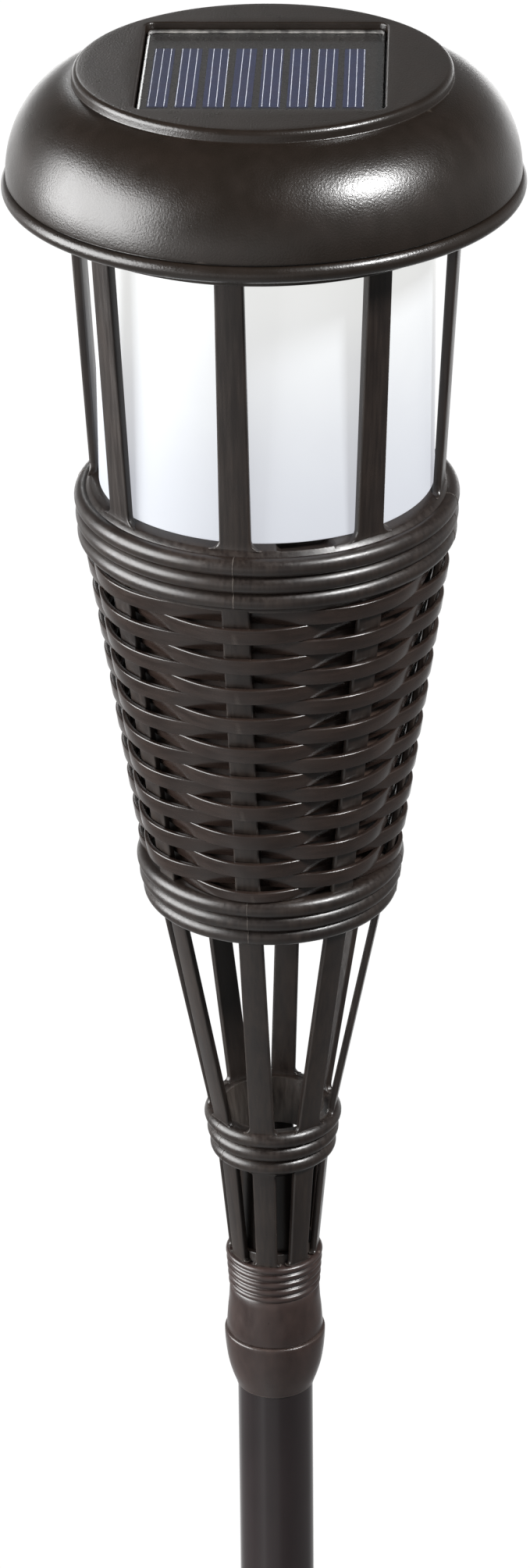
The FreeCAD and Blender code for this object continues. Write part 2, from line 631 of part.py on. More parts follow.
def build_electronics():
    """Circuit board with its parts, lamps, leads and the slide switch."""
    node(box("pcb", {"Length": "dims.pcb_width", "Width": "dims.pcb_depth",
                     "Height": "dims.pcb_thick", "x": "-dims.pcb_width / 2",
                     "y": "dims.pcb_front_y", "z": "dims.pcb_z"}), "circuit_board")
    pcb_top = "dims.pcb_z + dims.pcb_thick"
    node(box("chip", {"Length": "5", "Width": "4", "Height": "1.4", "x": "6", "y": "18",
                      "z": pcb_top}), "control_chip")
    node(cylinder("coil", "2.5", "5", "-9", "19", pcb_top), "inductor")
    lamps = []
    for side in (-1, 1):
        at = Vector(side * val("led_x"), val("led_y"), val("led_tip_z"))
        tip = Part.makeSphere(val("led_radius"), at)
        stem = Part.makeCylinder(val("led_radius"), val("pcb_z") - at.z, at)
        flange = Part.makeCylinder(val("led_flange"), 1.0, Vector(at.x, at.y, val("pcb_z") - 1.0))
        lamps.append(tip.fuse([stem, flange]))
    node(solid("led_shapes", Part.makeCompound(lamps)), "leds")
    lead_height = "dims.recess_floor_z - dims.pcb_z - dims.pcb_thick"
    for name, sign in (("lead_red", ""), ("lead_black", "-")):
        node(cylinder(name + "_wire", "dims.lead_radius", lead_height, sign + "dims.lead_x",
                      "dims.lead_y", pcb_top), name)
    gap = val("loose_gap")
    width, depth = val("switch_width"), val("switch_depth")
    floor, under = val("tray_floor_z"), val("pcb_z")
    body = Part.makeBox(width, depth, under - floor,
                        Vector(-width / 2, val("switch_y") - depth / 2, floor))
    room_width = val("slider_width") + val("slider_travel") + 2 * gap
    room_depth = val("slider_depth") + 2 * gap
    room_top = val("slider_top_z") + gap
    room = Part.makeBox(room_width, room_depth, room_top - floor + 1,
                        Vector(-room_width / 2, val("switch_y") - room_depth / 2, floor - 1))
    node(solid("switch_body_shape", body.cut(room)), "switch_body")
    node(box("slider", {"Length": "dims.slider_width", "Width": "dims.slider_depth",
                        "Height": "dims.slider_top_z - dims.slider_foot_z",
                        "x": "dims.slider_x", "y": "dims.switch_y - dims.slider_depth / 2",
                        "z": "dims.slider_foot_z"}), "switch_slider")


# ---------------------------------------------------------------------------
# Cage, lens, bands and weave
# ---------------------------------------------------------------------------
def slat_thickness(name):
    """Thickness of a slat at one of its stations."""
    if name == "slat_a":
        return val("slat_thick_top")
    return val("slat_thick") if name == "slat_b" else val("stake_thick")


def slat_shape(grow=0.0):
    """One slat lying along the -Y direction, through all its stations."""
    sections = []
    for name, _, _, _ in SLAT_STATIONS:
        outer, half = val(name + "_radius") + grow, val(name + "_width") / 2 + grow
        inner = val(name + "_radius") - slat_thickness(name) - grow
        z = val(name + "_z")
        spots = [Vector(-half, -outer, z), Vector(half, -outer, z),
                 Vector(half, -inner, z), Vector(-half, -inner, z)]
        sections.append(Part.makePolygon(spots + [spots[0]]))
    return Part.makeLoft(sections, True, True)


def around(shape, count, first=0.0):
    """Copies of a shape spaced evenly about Z."""
    copies = []
    for i in range(count):
        copy = shape.copy()
        copy.rotate(Vector(0, 0, 0), Z_AXIS, first + i * 360.0 / count)
        copies.append(copy)
    return copies


def all_slats(grow=0.0):
    """The eight slats, turned to the cage's angle."""
    return around(slat_shape(grow), int(val("slat_count")), val("cage_turn"))


def build_cage():
    """Top ring, eight slats, hub and the spigot that plugs into the pole."""
    foot, top = val("ring_foot_z"), val("ring_top_z")
    ring = Part.makeCylinder(val("ring_outer"), top - foot, Vector(0, 0, foot))
    ring = ring.cut(Part.makeCylinder(val("ring_inner"), top - foot, Vector(0, 0, foot)))
    for where in lug_directions(val("unlock_turn")):
        ring = ring.cut(sector(val("lug_inner") - 0.4, val("ring_outer") + 1, foot - 1, top + 1,
                               val("gate_angle"), where))
    hub_top, pole_top = val("neck_end_z") + 3, val("pole_top_z")
    hub = Part.makeCylinder(val("hub_radius"), hub_top - pole_top, Vector(0, 0, pole_top))
    spigot = Part.makeCylinder(val("spigot_radius"), val("spigot_length") + 1,
                               Vector(0, 0, pole_top - val("spigot_length")))
    bore = Part.makeCylinder(val("spigot_bore"), val("spigot_length") + 20,
                             Vector(0, 0, pole_top - val("spigot_length") - 5))
    shape = ring.fuse(all_slats() + [hub, spigot]).cut(bore)
    node(solid("cage_shape", shape), "cage_frame")


def ropes(stations, section):
    """Rings of a band as tori."""
    return [Part.makeTorus(val(name + "_outer") - section, section, Vector(0, 0, val(name + "_z")))
            for name, _, _ in stations]


def band(stations, section, profile):
    """Solid band: profile of (radius, height) numbers plus its rings, slats cut out."""
    core = revolve_face([line(profile[i], profile[(i + 1) % len(profile)])
                         for i in range(len(profile))])
    shape = core.fuse(ropes(stations, section))
    for slat in all_slats():
        shape = shape.cut(slat)
    return shape


def build_bands():
    """Upper band with the lens shelf, lower band and neck band."""
    section = val("rope_radius")
    top, foot = val("band_top_z"), val("weave_top_z")
    mean = [val(n + "_outer") - section for n, _, _ in UPPER_ROPES]
    upper = [(val("band_inner"), top + 1.0), (val("lens_radius") + 0.1, top + 1.0),
             (mean[0] + 0.6, top - 0.6), (mean[0] + 0.6, val("rope_a_z")),
             (mean[2] + 0.2, val("rope_c_z")), (mean[2] - 0.2, foot),
             (val("lens_inner"), foot), (val("lens_inner"), top - 2.0),
             (val("band_inner"), top - 2.0)]
    notch_at = math.radians(val("cage_turn") - 90 + 180.0 / val("slat_count"))
    shape = band(UPPER_ROPES, section, upper)
    notch = Part.makeBox(12, 2.4, 1.9, Vector(-6, -val("lens_radius") - 2.3, top - 0.8))
    notch.rotate(Vector(0, 0, 0), Z_AXIS, math.degrees(notch_at) + 90)
    node(solid("upper_band_shape", shape.cut(notch)), "upper_band")
    head = val("weave_foot_z")
    mean = [val(n + "_outer") - section for n, _, _ in LOWER_ROPES]
    lower = [(val("lower_inner_top"), head), (mean[0] + 0.2, head),
             (mean[0] + 0.4, val("rope_d_z")), (mean[2], val("rope_f_z")),
             (mean[2] - 1.0, val("rope_f_z") - section + 0.4),
             (val("lower_inner_foot"), val("rope_f_z") - section + 0.4)]
    node(solid("lower_band_shape", band(LOWER_ROPES, section, lower)), "lower_band")
    section = val("neck_rope")
    mean = [val(n + "_outer") - section for n, _, _ in NECK_ROPES]
    half = section * 0.8
    neck = [(mean[0] - 2.4, val("rope_g_z") + half), (mean[0], val("rope_g_z") + half),
            (mean[2], val("rope_i_z") - half), (mean[2] - 3.2, val("rope_i_z") - half)]
    node(solid("neck_band_shape", band(NECK_ROPES, section, neck)), "neck_band")


def strip_loop(mean, swing, phase, z):
    """Closed wavy loop that swings out over every other slat."""
    waves = int(val("slat_count")) // 2
    samples = waves * 16
    spots = []
    for i in range(samples):
        angle = 2 * math.pi * i / samples
        r = mean + swing * math.cos(waves * angle + phase)
        turn = angle + math.radians(val("cage_turn") - 90)
        spots.append(Vector(r * math.cos(turn), r * math.sin(turn), z))
    spline = Part.BSplineCurve()
    spline.interpolate(spots, True)
    return Part.Wire(spline.toShape())


def strip_ring(row):
    """One row of the weave, following the cage's taper."""
    top = val("weave_top_z") - row * val("weave_pitch")
    foot = max(top - val("weave_pitch"), val("weave_foot_z"))
    span = val("weave_top_z") - val("weave_foot_z")
    slope = (val("weave_top_radius") - val("weave_foot_radius")) / span
    swing, thick = val("strip_swing"), val("strip_thick")
    phase = 0.0 if row % 2 else math.pi
    loops = {"outer": [], "inner": []}
    for z in (top, foot):
        peak = val("weave_top_radius") - (val("weave_top_z") - z) * slope
        loops["outer"].append(strip_loop(peak - swing, swing, phase, z))
        loops["inner"].append(strip_loop(peak - swing - thick, swing, phase, z))
    outer = Part.makeLoft(loops["outer"], True, True)
    inner = Part.makeLoft(loops["inner"], True, True)
    return outer.cut(inner)


def build_weave():
    """Two sets of rows: one over the front slat, the other behind it."""
    count = int(val("weave_rows"))
    for name, rows in (("weave_rows_over", range(1, count, 2)),
                       ("weave_rows_under", range(0, count, 2))):
        rings = [strip_ring(row) for row in rows]
        node(solid(name + "_shape", Part.makeCompound(rings)), name)
    node(profile_body("lining_body", [("lining_foot_radius - lining_wall", "weave_foot_z"),
                                      ("lining_foot_radius", "weave_foot_z"),
                                      ("lining_top_radius", "weave_top_z"),
                                      ("lining_top_radius - lining_wall", "weave_top_z")]),
         "weave_lining")


# ---------------------------------------------------------------------------
# Collar, pole and stake
# ---------------------------------------------------------------------------
def build_collar():
    """Ribbed collar over the pole's top end."""
    bore, top, foot = val("collar_bore"), val("collar_top_z"), val("seam_z")
    lip, waist, base = val("collar_lip"), val("collar_waist"), val("collar_foot")
    ribs_end = top - val("rib_pitch") * val("rib_count")
    swell = [(waist, ribs_end), (waist + 0.12, ribs_end - 2.0),
             (waist + (base - waist) * 0.55, (ribs_end + foot) / 2), (base, foot)]
    hub = val("hub_radius") + 0.1
    edges = [line((hub, top), (lip - 0.5, top)), line((lip - 0.5, top), (waist, ribs_end)),
             curve(swell), line((base, foot), (bore, foot)),
             line((bore, foot), (bore, val("pole_top_z"))),
             line((bore, val("pole_top_z")), (hub, val("pole_top_z"))),
             line((hub, val("pole_top_z")), (hub, top))]
    shape = revolve_face(edges)
    rings = []
    for i in range(int(val("rib_count"))):
        z = top - val("rib_round") - i * val("rib_pitch")
        share = (top - z) / (top - ribs_end)
        r = lip + (waist + 0.2 - lip) * share - val("rib_round")
        rings.append(Part.makeTorus(r, val("rib_round"), Vector(0, 0, z)))
    node(solid("collar_shape", shape.fuse(rings)), "collar")
    cup = [(val("cup_radius") - 0.25, foot), (val("cup_radius"), foot - 0.5),
           (val("cup_radius") - 0.1, foot - 3.5), (val("cup_radius") - 0.65, foot - 8.5),
           (val("cup_radius") - 1.4, foot - 12.0), (bore + 0.75, foot - 15.4),
           (bore + 0.3, val("cup_foot_z"))]
    edges = [line((bore, foot), cup[0]), line(cup[0], cup[1]), curve(cup[1:]),
             line(cup[-1], (bore, val("cup_foot_z"))),
             line((bore, val("cup_foot_z")), (bore, foot))]
    node(solid("cup_shape", revolve_face(edges)), "collar_cup")


def build_pole():
    """Two tubes, the joiner between them and the stake."""
    node(profile_body("upper_tube", [("pole_bore", "upper_foot_z"), ("pole_radius", "upper_foot_z"),
                                     ("pole_radius", "pole_top_z"), ("pole_bore", "pole_top_z")]),
         "pole_upper")
    node(profile_body("lower_tube", [("pole_bore", "lower_foot_z"), ("pole_radius", "lower_foot_z"),
                                     ("pole_radius", "lower_top_z"), ("pole_bore", "lower_top_z")]),
         "pole_lower")
    node(profile_body("joiner_body", [
        ("spigot_bore", "lower_top_z - spigot_length"),
        ("spigot_radius", "lower_top_z - spigot_length"),
        ("spigot_radius", "lower_top_z"), ("shoulder_radius", "lower_top_z"),
        ("shoulder_radius", "upper_foot_z"), ("spigot_radius", "upper_foot_z"),
        ("spigot_radius", "upper_foot_z + spigot_length"),
        ("spigot_bore", "upper_foot_z + spigot_length")]), "pole_joiner")
    length, rib, reach = val("stake_length"), val("stake_rib"), val("stake_radius")
    top = val("lower_foot_z")
    plug = Part.makeCylinder(val("spigot_radius"), val("spigot_length"), Vector(0, 0, top))
    flange = Part.makeCylinder(val("shoulder_radius"), val("collar_step"), Vector(0, 0, length))
    blades = []
    for turn in (45, 135):
        outline = [Vector(-reach, 0, length), Vector(-reach, 0, val("stake_point")),
                   Vector(-0.6, 0, 0), Vector(0.6, 0, 0),
                   Vector(reach, 0, val("stake_point")), Vector(reach, 0, length)]
        face = Part.Face(Part.makePolygon(outline + [outline[0]]))
        blade = face.extrude(Vector(0, rib, 0))
        blade.translate(Vector(0, -rib / 2, 0))
        blade.rotate(Vector(0, 0, 0), Z_AXIS, turn)
        blades.append(blade)
    node(solid("stake_shape", plug.fuse([flange] + blades)), "ground_stake")


def build_lens():
    """Frosted cup and the hollow core in the neck."""
    node(profile_body("lens_body", [("0", "lens_foot_z"), ("lens_radius", "lens_foot_z"),
                                    ("lens_radius", "lens_top_z"), ("lens_inner", "lens_top_z"),
                                    ("lens_inner", "lens_floor_z"), ("0", "lens_floor_z")]),
         "lens")
    node(profile_body("core_body", [("core_bore", "neck_end_z + 3"), ("core_radius", "neck_end_z + 3"),
                                    ("core_radius", "core_top_z"), ("core_bore", "core_top_z")]),
         "neck_core")


def check_and_export():
    """Fail on any broken object, then write one STEP file per node."""
    DOC.recompute()
    for obj in DOC.Objects:
        if "Invalid" in obj.State or "Error" in obj.State:
            raise RuntimeError("broken object " + obj.Name)
    os.makedirs("parts", exist_ok=True)
    for obj in NODES:
        shape = obj.Shape
        if shape.isNull() or not shape.isValid() or not shape.Solids:
            raise RuntimeError("bad shape " + obj.Label)
        shape.exportStep(os.path.join("parts", obj.Label + ".step"))
        bounds = shape.BoundBox
        print("%-18s solids %2d  z %.1f..%.1f  r %.1f  volume %.0f" % (
            obj.Label, len(shape.Solids), bounds.ZMin, bounds.ZMax, bounds.XMax, shape.Volume))


build_cap()
build_panel()
build_tray()
build_screws()
build_battery()
build_door()
build_electronics()
build_cage()
build_bands()
build_weave()
build_lens()
build_collar()
build_pole()
check_and_export()
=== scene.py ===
import functools
import logging
import math
from dataclasses import dataclass, field
from enum import Enum
from typing import Sequence, Union

import bmesh
import bpy
from mathutils import Matrix, Vector


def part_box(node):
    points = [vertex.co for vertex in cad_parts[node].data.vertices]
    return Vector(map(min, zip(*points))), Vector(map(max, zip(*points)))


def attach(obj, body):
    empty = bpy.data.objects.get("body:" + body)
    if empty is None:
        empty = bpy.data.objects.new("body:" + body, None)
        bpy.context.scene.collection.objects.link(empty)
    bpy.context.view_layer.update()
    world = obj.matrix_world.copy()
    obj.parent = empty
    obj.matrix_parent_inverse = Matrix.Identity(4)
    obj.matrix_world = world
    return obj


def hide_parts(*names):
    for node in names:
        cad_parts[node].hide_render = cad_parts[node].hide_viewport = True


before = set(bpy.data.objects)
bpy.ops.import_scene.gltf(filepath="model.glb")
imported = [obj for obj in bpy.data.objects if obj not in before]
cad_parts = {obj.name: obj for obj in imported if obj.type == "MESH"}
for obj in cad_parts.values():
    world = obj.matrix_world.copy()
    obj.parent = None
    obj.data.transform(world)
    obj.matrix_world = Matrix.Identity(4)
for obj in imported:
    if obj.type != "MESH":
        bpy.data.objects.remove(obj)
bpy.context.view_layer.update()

LOG = logging.getLogger("solar_torch")
MM = 0.001
TURN = 2.0 * math.pi
CAP_RISE = 28.5      # mm from the cap's rim up to the top of its disc
RIM_OVER_CAGE = 1.5  # mm from the cage's top ring up to the cap's rim

Point = tuple[float, float]
Loop = list[Vector]
Setting = Union[bpy.types.NodeSocket, float, tuple, str, bool]


class Ends(Enum):
    """How a skin of loops is finished at its two ends."""

    CAPPED = "capped"
    JOINED = "joined"


class RowSet(Enum):
    """The two sets of woven rows, by what they do at the front slat."""

    OVER = "weave_rows_over"
    UNDER = "weave_rows_under"


class Body(Enum):
    """The bodies that the torch comes apart into or that move on it."""

    STAKE = "stake"
    LOWER_POLE = "lower_pole"
    UPPER_POLE = "upper_pole"
    HEAD = "head"
    CAP = "cap"
    DOOR = "door"
    SLIDER = "slider"


# --------------------------------------------------------------------------
# Small helpers
# --------------------------------------------------------------------------
def linear(code: str) -> tuple[float, float, float, float]:
    """Turn an sRGB hex colour into linear RGBA.

    Args:
        code: Six hex digits, with or without a leading hash.

    Returns:
        Linear red, green, blue and an alpha of 1.
    """
    digits = code.lstrip("#")
    parts = [int(digits[i:i + 2], 16) / 255.0 for i in (0, 2, 4)]
    low = [c / 12.92 if c <= 0.04045 else ((c + 0.055) / 1.055) ** 2.4 for c in parts]
    return (low[0], low[1], low[2], 1.0)


def per_mm(size: float) -> float:
    """Pattern scale that gives a feature of that size in millimetres."""
    return 1.0 / (size * MM)


def add_node(tree: bpy.types.NodeTree, kind: str,
             inputs: dict[Union[str, int], Setting] | None = None,
             **settings: Setting) -> bpy.types.Node:
    """Add a node with its settings and links.

    Args:
        tree: Node tree that gets the node.
        kind: Blender's type name of the node.
        inputs: Socket name or number to a value, or to the socket that feeds it.
        settings: Properties of the node itself.

    Returns:
        The new node.
    """
    node = tree.nodes.new(kind)
    for key, value in settings.items():
        setattr(node, key, value)
    for key, value in (inputs or {}).items():
        if isinstance(value, bpy.types.NodeSocket):
            tree.links.new(value, node.inputs[key])
        else:
            node.inputs[key].default_value = value
    return node


@functools.cache
def node_span(name: str) -> tuple[Vector, Vector]:
    """Low and high corner of a CAD node's box, in millimetres."""
    low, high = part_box(name)
    return Vector(low) / MM, Vector(high) / MM


def rim_height() -> float:
    """Height of the cap's rim over the stake's tip, in millimetres."""
    return node_span("cage_frame")[1].z + RIM_OVER_CAGE


def smooth_step(value: float, low: float, high: float) -> float:
    """Soft 0 to 1 ramp of a value between two limits."""
    share = min(1.0, max(0.0, (value - low) / (high - low)))
    return share * share * (3.0 - 2.0 * share)


def arc_points(centre: Point, radius: float, start: float, stop: float,
               steps: int) -> list[Point]:
    """Points along an arc in the (radius, height) plane.

    Args:
        centre: Middle of the arc.
        radius: Radius of the arc.
        start: First angle in degrees; 0 points outwards and 90 points up.
        stop: Last angle in degrees.
        steps: Number of chords.

    Returns:
        steps + 1 points.
    """
    out = []
    for i in range(steps + 1):
        angle = math.radians(start + (stop - start) * i / steps)
        out.append((centre[0] + radius * math.cos(angle), centre[1] + radius * math.sin(angle)))
    return out


def rounded(corners: Sequence[tuple[float, ...]], closed: bool = True,
            steps: int = 5) -> list[Point]:
    """Round the corners of a polyline.

    Args:
        corners: (x, y) or (x, y, round) for each corner, in millimetres.
        closed: True if the last corner joins the first.
        steps: Chords in each rounding.

    Returns:
        Points of the rounded line.
    """
    out: list[Point] = []
    count = len(corners)
    for i, corner in enumerate(corners):
        here = Vector(corner[:2])
        size = corner[2] if len(corner) > 2 else 0.0
        if size <= 0.0 or (not closed and i in (0, count - 1)):
            out.append((here.x, here.y))
            continue
        back = Vector(corners[i - 1][:2]) - here
        ahead = Vector(corners[(i + 1) % count][:2]) - here
        half = back.angle(ahead) / 2.0
        reach = min(size / math.tan(half), 0.49 * back.length, 0.49 * ahead.length)
        radius = reach * math.tan(half)
        bisector = (back.normalized() + ahead.normalized()).normalized()
        middle = here + bisector * (radius / math.sin(half))
        first = here + back.normalized() * reach - middle
        last = here + ahead.normalized() * reach - middle
        sweep = first.angle_signed(last)
        for k in range(steps + 1):
            turn = -sweep * k / steps
            out.append((middle.x + first.x * math.cos(turn) - first.y * math.sin(turn),
                        middle.y + first.x * math.sin(turn) + first.y * math.cos(turn)))
    return out


def polar(radius: float, angle: float, height: float) -> Vector:
    """Point in metres from a radius and a height in millimetres, and an angle in radians."""
    return Vector((radius * math.cos(angle), radius * math.sin(angle), height)) * MM


@dataclass
class Draft:
    """Vertices and faces of one mesh, gathered skin by skin."""

    verts: list[Vector] = field(default_factory=list)
    faces: list[tuple[int, ...]] = field(default_factory=list)
    paints: list[int] = field(default_factory=list)
    paint: int = 0

    def add_face(self, corners: Sequence[int]) -> None:
        """Keep one face and the material slot in use."""
        self.faces.append(tuple(corners))
        self.paints.append(self.paint)

    def skin(self, loops: Sequence[Loop], ends: Ends = Ends.CAPPED) -> None:
        """Join loops of equal length with quads.

        Args:
            loops: Loops of points, in order.
            ends: What is done at the first and last loop.
        """
        start, size = len(self.verts), len(loops[0])
        for loop in loops:
            self.verts.extend(loop)
        rings = [[start + r * size + i for i in range(size)] for r in range(len(loops))]
        pairs = list(zip(rings, rings[1:]))
        if ends is Ends.JOINED:
            pairs.append((rings[-1], rings[0]))
        for low, high in pairs:
            for i in range(size):
                k = (i + 1) % size
                self.add_face((low[i], low[k], high[k], high[i]))
        if ends is Ends.CAPPED:
            self.add_face(tuple(reversed(rings[0])))
            self.add_face(tuple(rings[-1]))

    def lathe(self, profile: Sequence[Point], segments: int, ends: Ends = Ends.JOINED,
              centre: Point = (0.0, 0.0)) -> None:
        """Turn a profile about an upright axis.

        Args:
            profile: (radius, height) points in millimetres.
            segments: Facets round the axis.
            ends: JOINED for a closed profile, CAPPED where it ends on flat faces.
            centre: Where the axis stands, in millimetres.
        """
        shift = Vector((centre[0], centre[1], 0.0)) * MM
        loops = [[polar(r, TURN * i / segments, z) + shift for i in range(segments)]
                 for r, z in profile]
        self.skin(loops, ends)

    def make(self, name: str, sharp: float = 40.0) -> bpy.types.Object:
        """Turn the draft into an object with smooth shading.

        Args:
            name: Name of the piece.
            sharp: Edges that turn more than this many degrees stay sharp.

        Returns:
            The object, linked to the scene.
        """
        mesh = bpy.data.meshes.new(name)
        mesh.from_pydata([tuple(v) for v in self.verts], [], self.faces)
        mesh.polygons.foreach_set("material_index", self.paints)
        work = bmesh.new()
        work.from_mesh(mesh)
        bmesh.ops.remove_doubles(work, verts=work.verts, dist=1e-7)
        bmesh.ops.recalc_face_normals(work, faces=work.faces)
        work.to_mesh(mesh)
        work.free()
        mesh.polygons.foreach_set("use_smooth", [True] * len(mesh.polygons))
        mesh.set_sharp_from_angle(angle=math.radians(sharp))
        obj = bpy.data.objects.new(name, mesh)
        bpy.context.scene.collection.objects.link(obj)
        return obj


# --------------------------------------------------------------------------
# Finishes
# --------------------------------------------------------------------------
@dataclass(frozen=True)
class Finish:
    """Base of every finish: a name and the tools that build its node tree."""

    name: str

    def start(self) -> tuple[bpy.types.Material, bpy.types.NodeTree, bpy.types.NodeSocket]:
        """Begin a material.

        Returns:
            The material, its empty tree and the object coordinates in metres.
        """
        material = bpy.data.materials.new(self.name)
        material.use_nodes = True
        tree = material.node_tree
        tree.nodes.clear()
        place = add_node(tree, "ShaderNodeTexCoord").outputs["Object"]
        return material, tree, place

    def close(self, tree: bpy.types.NodeTree, inputs: dict[str, Setting]) -> None:
        """End a material with its shader and output."""
        shader = add_node(tree, "ShaderNodeBsdfPrincipled", inputs)
        add_node(tree, "ShaderNodeOutputMaterial", {"Surface": shader.outputs[0]})


@dataclass(frozen=True)
class Moulding(Finish):
    """Injection-moulded plastic whose skin copies the mould's surface.

    The mould's grain breaks highlights into sparks, flow streaks run along the part,
    and convex edges are lighter: partly edge wear, partly a painted edge highlight.
    """

    base: str = "#251e19"
    second: str = "#31271f"
    # Lighter tone of convex edges: edge wear and a painted edge highlight.
    edge_wear_and_glint: str = "#6b625b"
    roughness: float = 0.42
    spread: float = 0.08
    grain: float = 0.45        # mm across one grain of the mould's texture
    grain_height: float = 0.02  # mm
    streak: tuple[float, float] = (1.2, 26.0)  # mm across and along a flow streak
    patch: float = 9.0         # mm, soft patches where the plastic cooled unevenly
    ripple: float = 0.004      # mm, height of those patches
    edge_wear_and_glint_strength: float = 0.5           # how strongly the edge wear and painted edge highlight show
    coat: float = 0.0

    def make(self) -> bpy.types.Material:
        """Build the material.

        Returns:
            The finished material.
        """
        material, tree, place = self.start()
        patch = add_node(tree, "ShaderNodeTexNoise", {
            "Vector": place, "Scale": per_mm(self.patch), "Detail": 3.0, "Roughness": 0.55})
        stretch = add_node(tree, "ShaderNodeMapping", {
            "Vector": place, "Scale": (per_mm(self.streak[0]), per_mm(self.streak[0]),
                                       per_mm(self.streak[1]))})
        streak = add_node(tree, "ShaderNodeTexNoise", {
            "Vector": stretch.outputs[0], "Scale": 1.0, "Detail": 2.0})
        blend = add_node(tree, "ShaderNodeMath", {0: patch.outputs[0], 1: streak.outputs[0]},
                         operation="MULTIPLY")
        share = add_node(tree, "ShaderNodeMapRange", {
            "Value": blend.outputs[0], "From Min": 0.14, "From Max": 0.38})
        colour = add_node(tree, "ShaderNodeMix", {
            0: share.outputs[0], 6: linear(self.base), 7: linear(self.second)}, data_type="RGBA")
        # Lighter convex edges found by pointiness, broken up by the streaks: edge wear and a
        # painted edge highlight.
        edge = add_node(tree, "ShaderNodeMapRange", {
            "Value": add_node(tree, "ShaderNodeNewGeometry").outputs["Pointiness"],
            "From Min": 0.53, "From Max": 0.62, "To Max": self.edge_wear_and_glint_strength})
        chip = add_node(tree, "ShaderNodeMath", {0: edge.outputs[0], 1: streak.outputs[0]},
                        operation="MULTIPLY")
        tint = add_node(tree, "ShaderNodeMix", {
            0: chip.outputs[0], 6: colour.outputs[2], 7: linear(self.edge_wear_and_glint)}, data_type="RGBA")
        grain = add_node(tree, "ShaderNodeTexNoise", {
            "Vector": place, "Scale": per_mm(self.grain), "Detail": 2.0, "Roughness": 0.6})
        rough = add_node(tree, "ShaderNodeMapRange", {
            "Value": streak.outputs[0], "From Min": 0.3, "From Max": 0.7,
            "To Min": self.roughness - self.spread, "To Max": self.roughness + self.spread})
        swell = add_node(tree, "ShaderNodeBump", {
            "Height": patch.outputs[0], "Distance": self.ripple * MM, "Strength": 1.0})
        bump = add_node(tree, "ShaderNodeBump", {
            "Height": grain.outputs[0], "Distance": self.grain_height * MM, "Strength": 1.0,
            "Normal": swell.outputs[0]})
        self.close(tree, {
            "Base Color": tint.outputs[2], "Roughness": rough.outputs[0],
            "Normal": bump.outputs[0], "IOR": 1.5, "Coat Weight": self.coat,
            "Coat Roughness": 0.12})
        return material


@dataclass(frozen=True)
class Plated(Finish):
    """Plated or bare metal with fine drawing lines and a few dull spots."""

    base: str = "#b9b7b2"
    dull: str = "#86837d"
    roughness: float = 0.28
    line: float = 0.35  # mm between drawing lines

    def make(self) -> bpy.types.Material:
        """Build the material.

        Returns:
            The finished material.
        """
        material, tree, place = self.start()
        spot = add_node(tree, "ShaderNodeTexNoise", {
            "Vector": place, "Scale": per_mm(2.5), "Detail": 4.0})
        line = add_node(tree, "ShaderNodeTexNoise", {
            "Vector": place, "Scale": per_mm(self.line), "Detail": 1.0})
        colour = add_node(tree, "ShaderNodeMix", {
            0: spot.outputs[0], 6: linear(self.base), 7: linear(self.dull)}, data_type="RGBA")
        rough = add_node(tree, "ShaderNodeMapRange", {
            "Value": spot.outputs[0], "To Min": self.roughness - 0.08,
            "To Max": self.roughness + 0.14})
        bump = add_node(tree, "ShaderNodeBump", {
            "Height": line.outputs[0], "Distance": 0.006 * MM, "Strength": 1.0})
        self.close(tree, {"Base Color": colour.outputs[2], "Metallic": 1.0,
                          "Roughness": rough.outputs[0], "Normal": bump.outputs[0]})
        return material


@dataclass(frozen=True)
class FrostedDiffuser(Finish):
    """Polypropylene cup, sand-blasted inside, dark in its own colour and lit by a painted glow that
    hides cast shade.
    """

    base: str = "#6a6c6e"
    shade: str = "#63676b"
    glow_top: str = "#e2e2e0"  # painted glow, brightest near the cap
    glow_foot: str = "#babcc3"  # painted glow near the shelf, dimmer and bluer
    span: Point = (1095.0, 1169.0)

    def make(self) -> bpy.types.Material:
        """Build the material.

        Returns:
            The finished material.
        """
        material, tree, place = self.start()
        cloud = add_node(tree, "ShaderNodeTexNoise", {
            "Vector": place, "Scale": per_mm(18.0), "Detail": 2.0})
        frost = add_node(tree, "ShaderNodeTexNoise", {
            "Vector": place, "Scale": per_mm(0.3), "Detail": 2.0})
        colour = add_node(tree, "ShaderNodeMix", {
            0: cloud.outputs[0], 6: linear(self.base), 7: linear(self.shade)}, data_type="RGBA")
        # Painted glow: emission that fades from near the cap down to the shelf, wobbled by the
        # clouds.
        height = add_node(tree, "ShaderNodeSeparateXYZ", {0: place}).outputs[2]
        wavy = add_node(tree, "ShaderNodeMath", {0: cloud.outputs[0], 1: 0.016, 2: height},
                        operation="MULTIPLY_ADD")
        level = add_node(tree, "ShaderNodeMapRange", {
            "Value": wavy.outputs[0], "From Min": (self.span[0] + 6.0) * MM,
            "From Max": (self.span[1] + 6.0) * MM}, interpolation_type="SMOOTHSTEP")
        glow = add_node(tree, "ShaderNodeMix", {
            0: level.outputs[0], 6: linear(self.glow_foot), 7: linear(self.glow_top)},
            data_type="RGBA")
        rough = add_node(tree, "ShaderNodeMapRange", {
            "Value": frost.outputs[0], "To Min": 0.42, "To Max": 0.56})
        bump = add_node(tree, "ShaderNodeBump", {
            "Height": frost.outputs[0], "Distance": 0.006 * MM, "Strength": 0.6})
        self.close(tree, {"Base Color": colour.outputs[2], "Roughness": rough.outputs[0],
                          "Normal": bump.outputs[0], "IOR": 1.49,
                          "Emission Color": glow.outputs[2], "Emission Strength": 1.0})
        return material


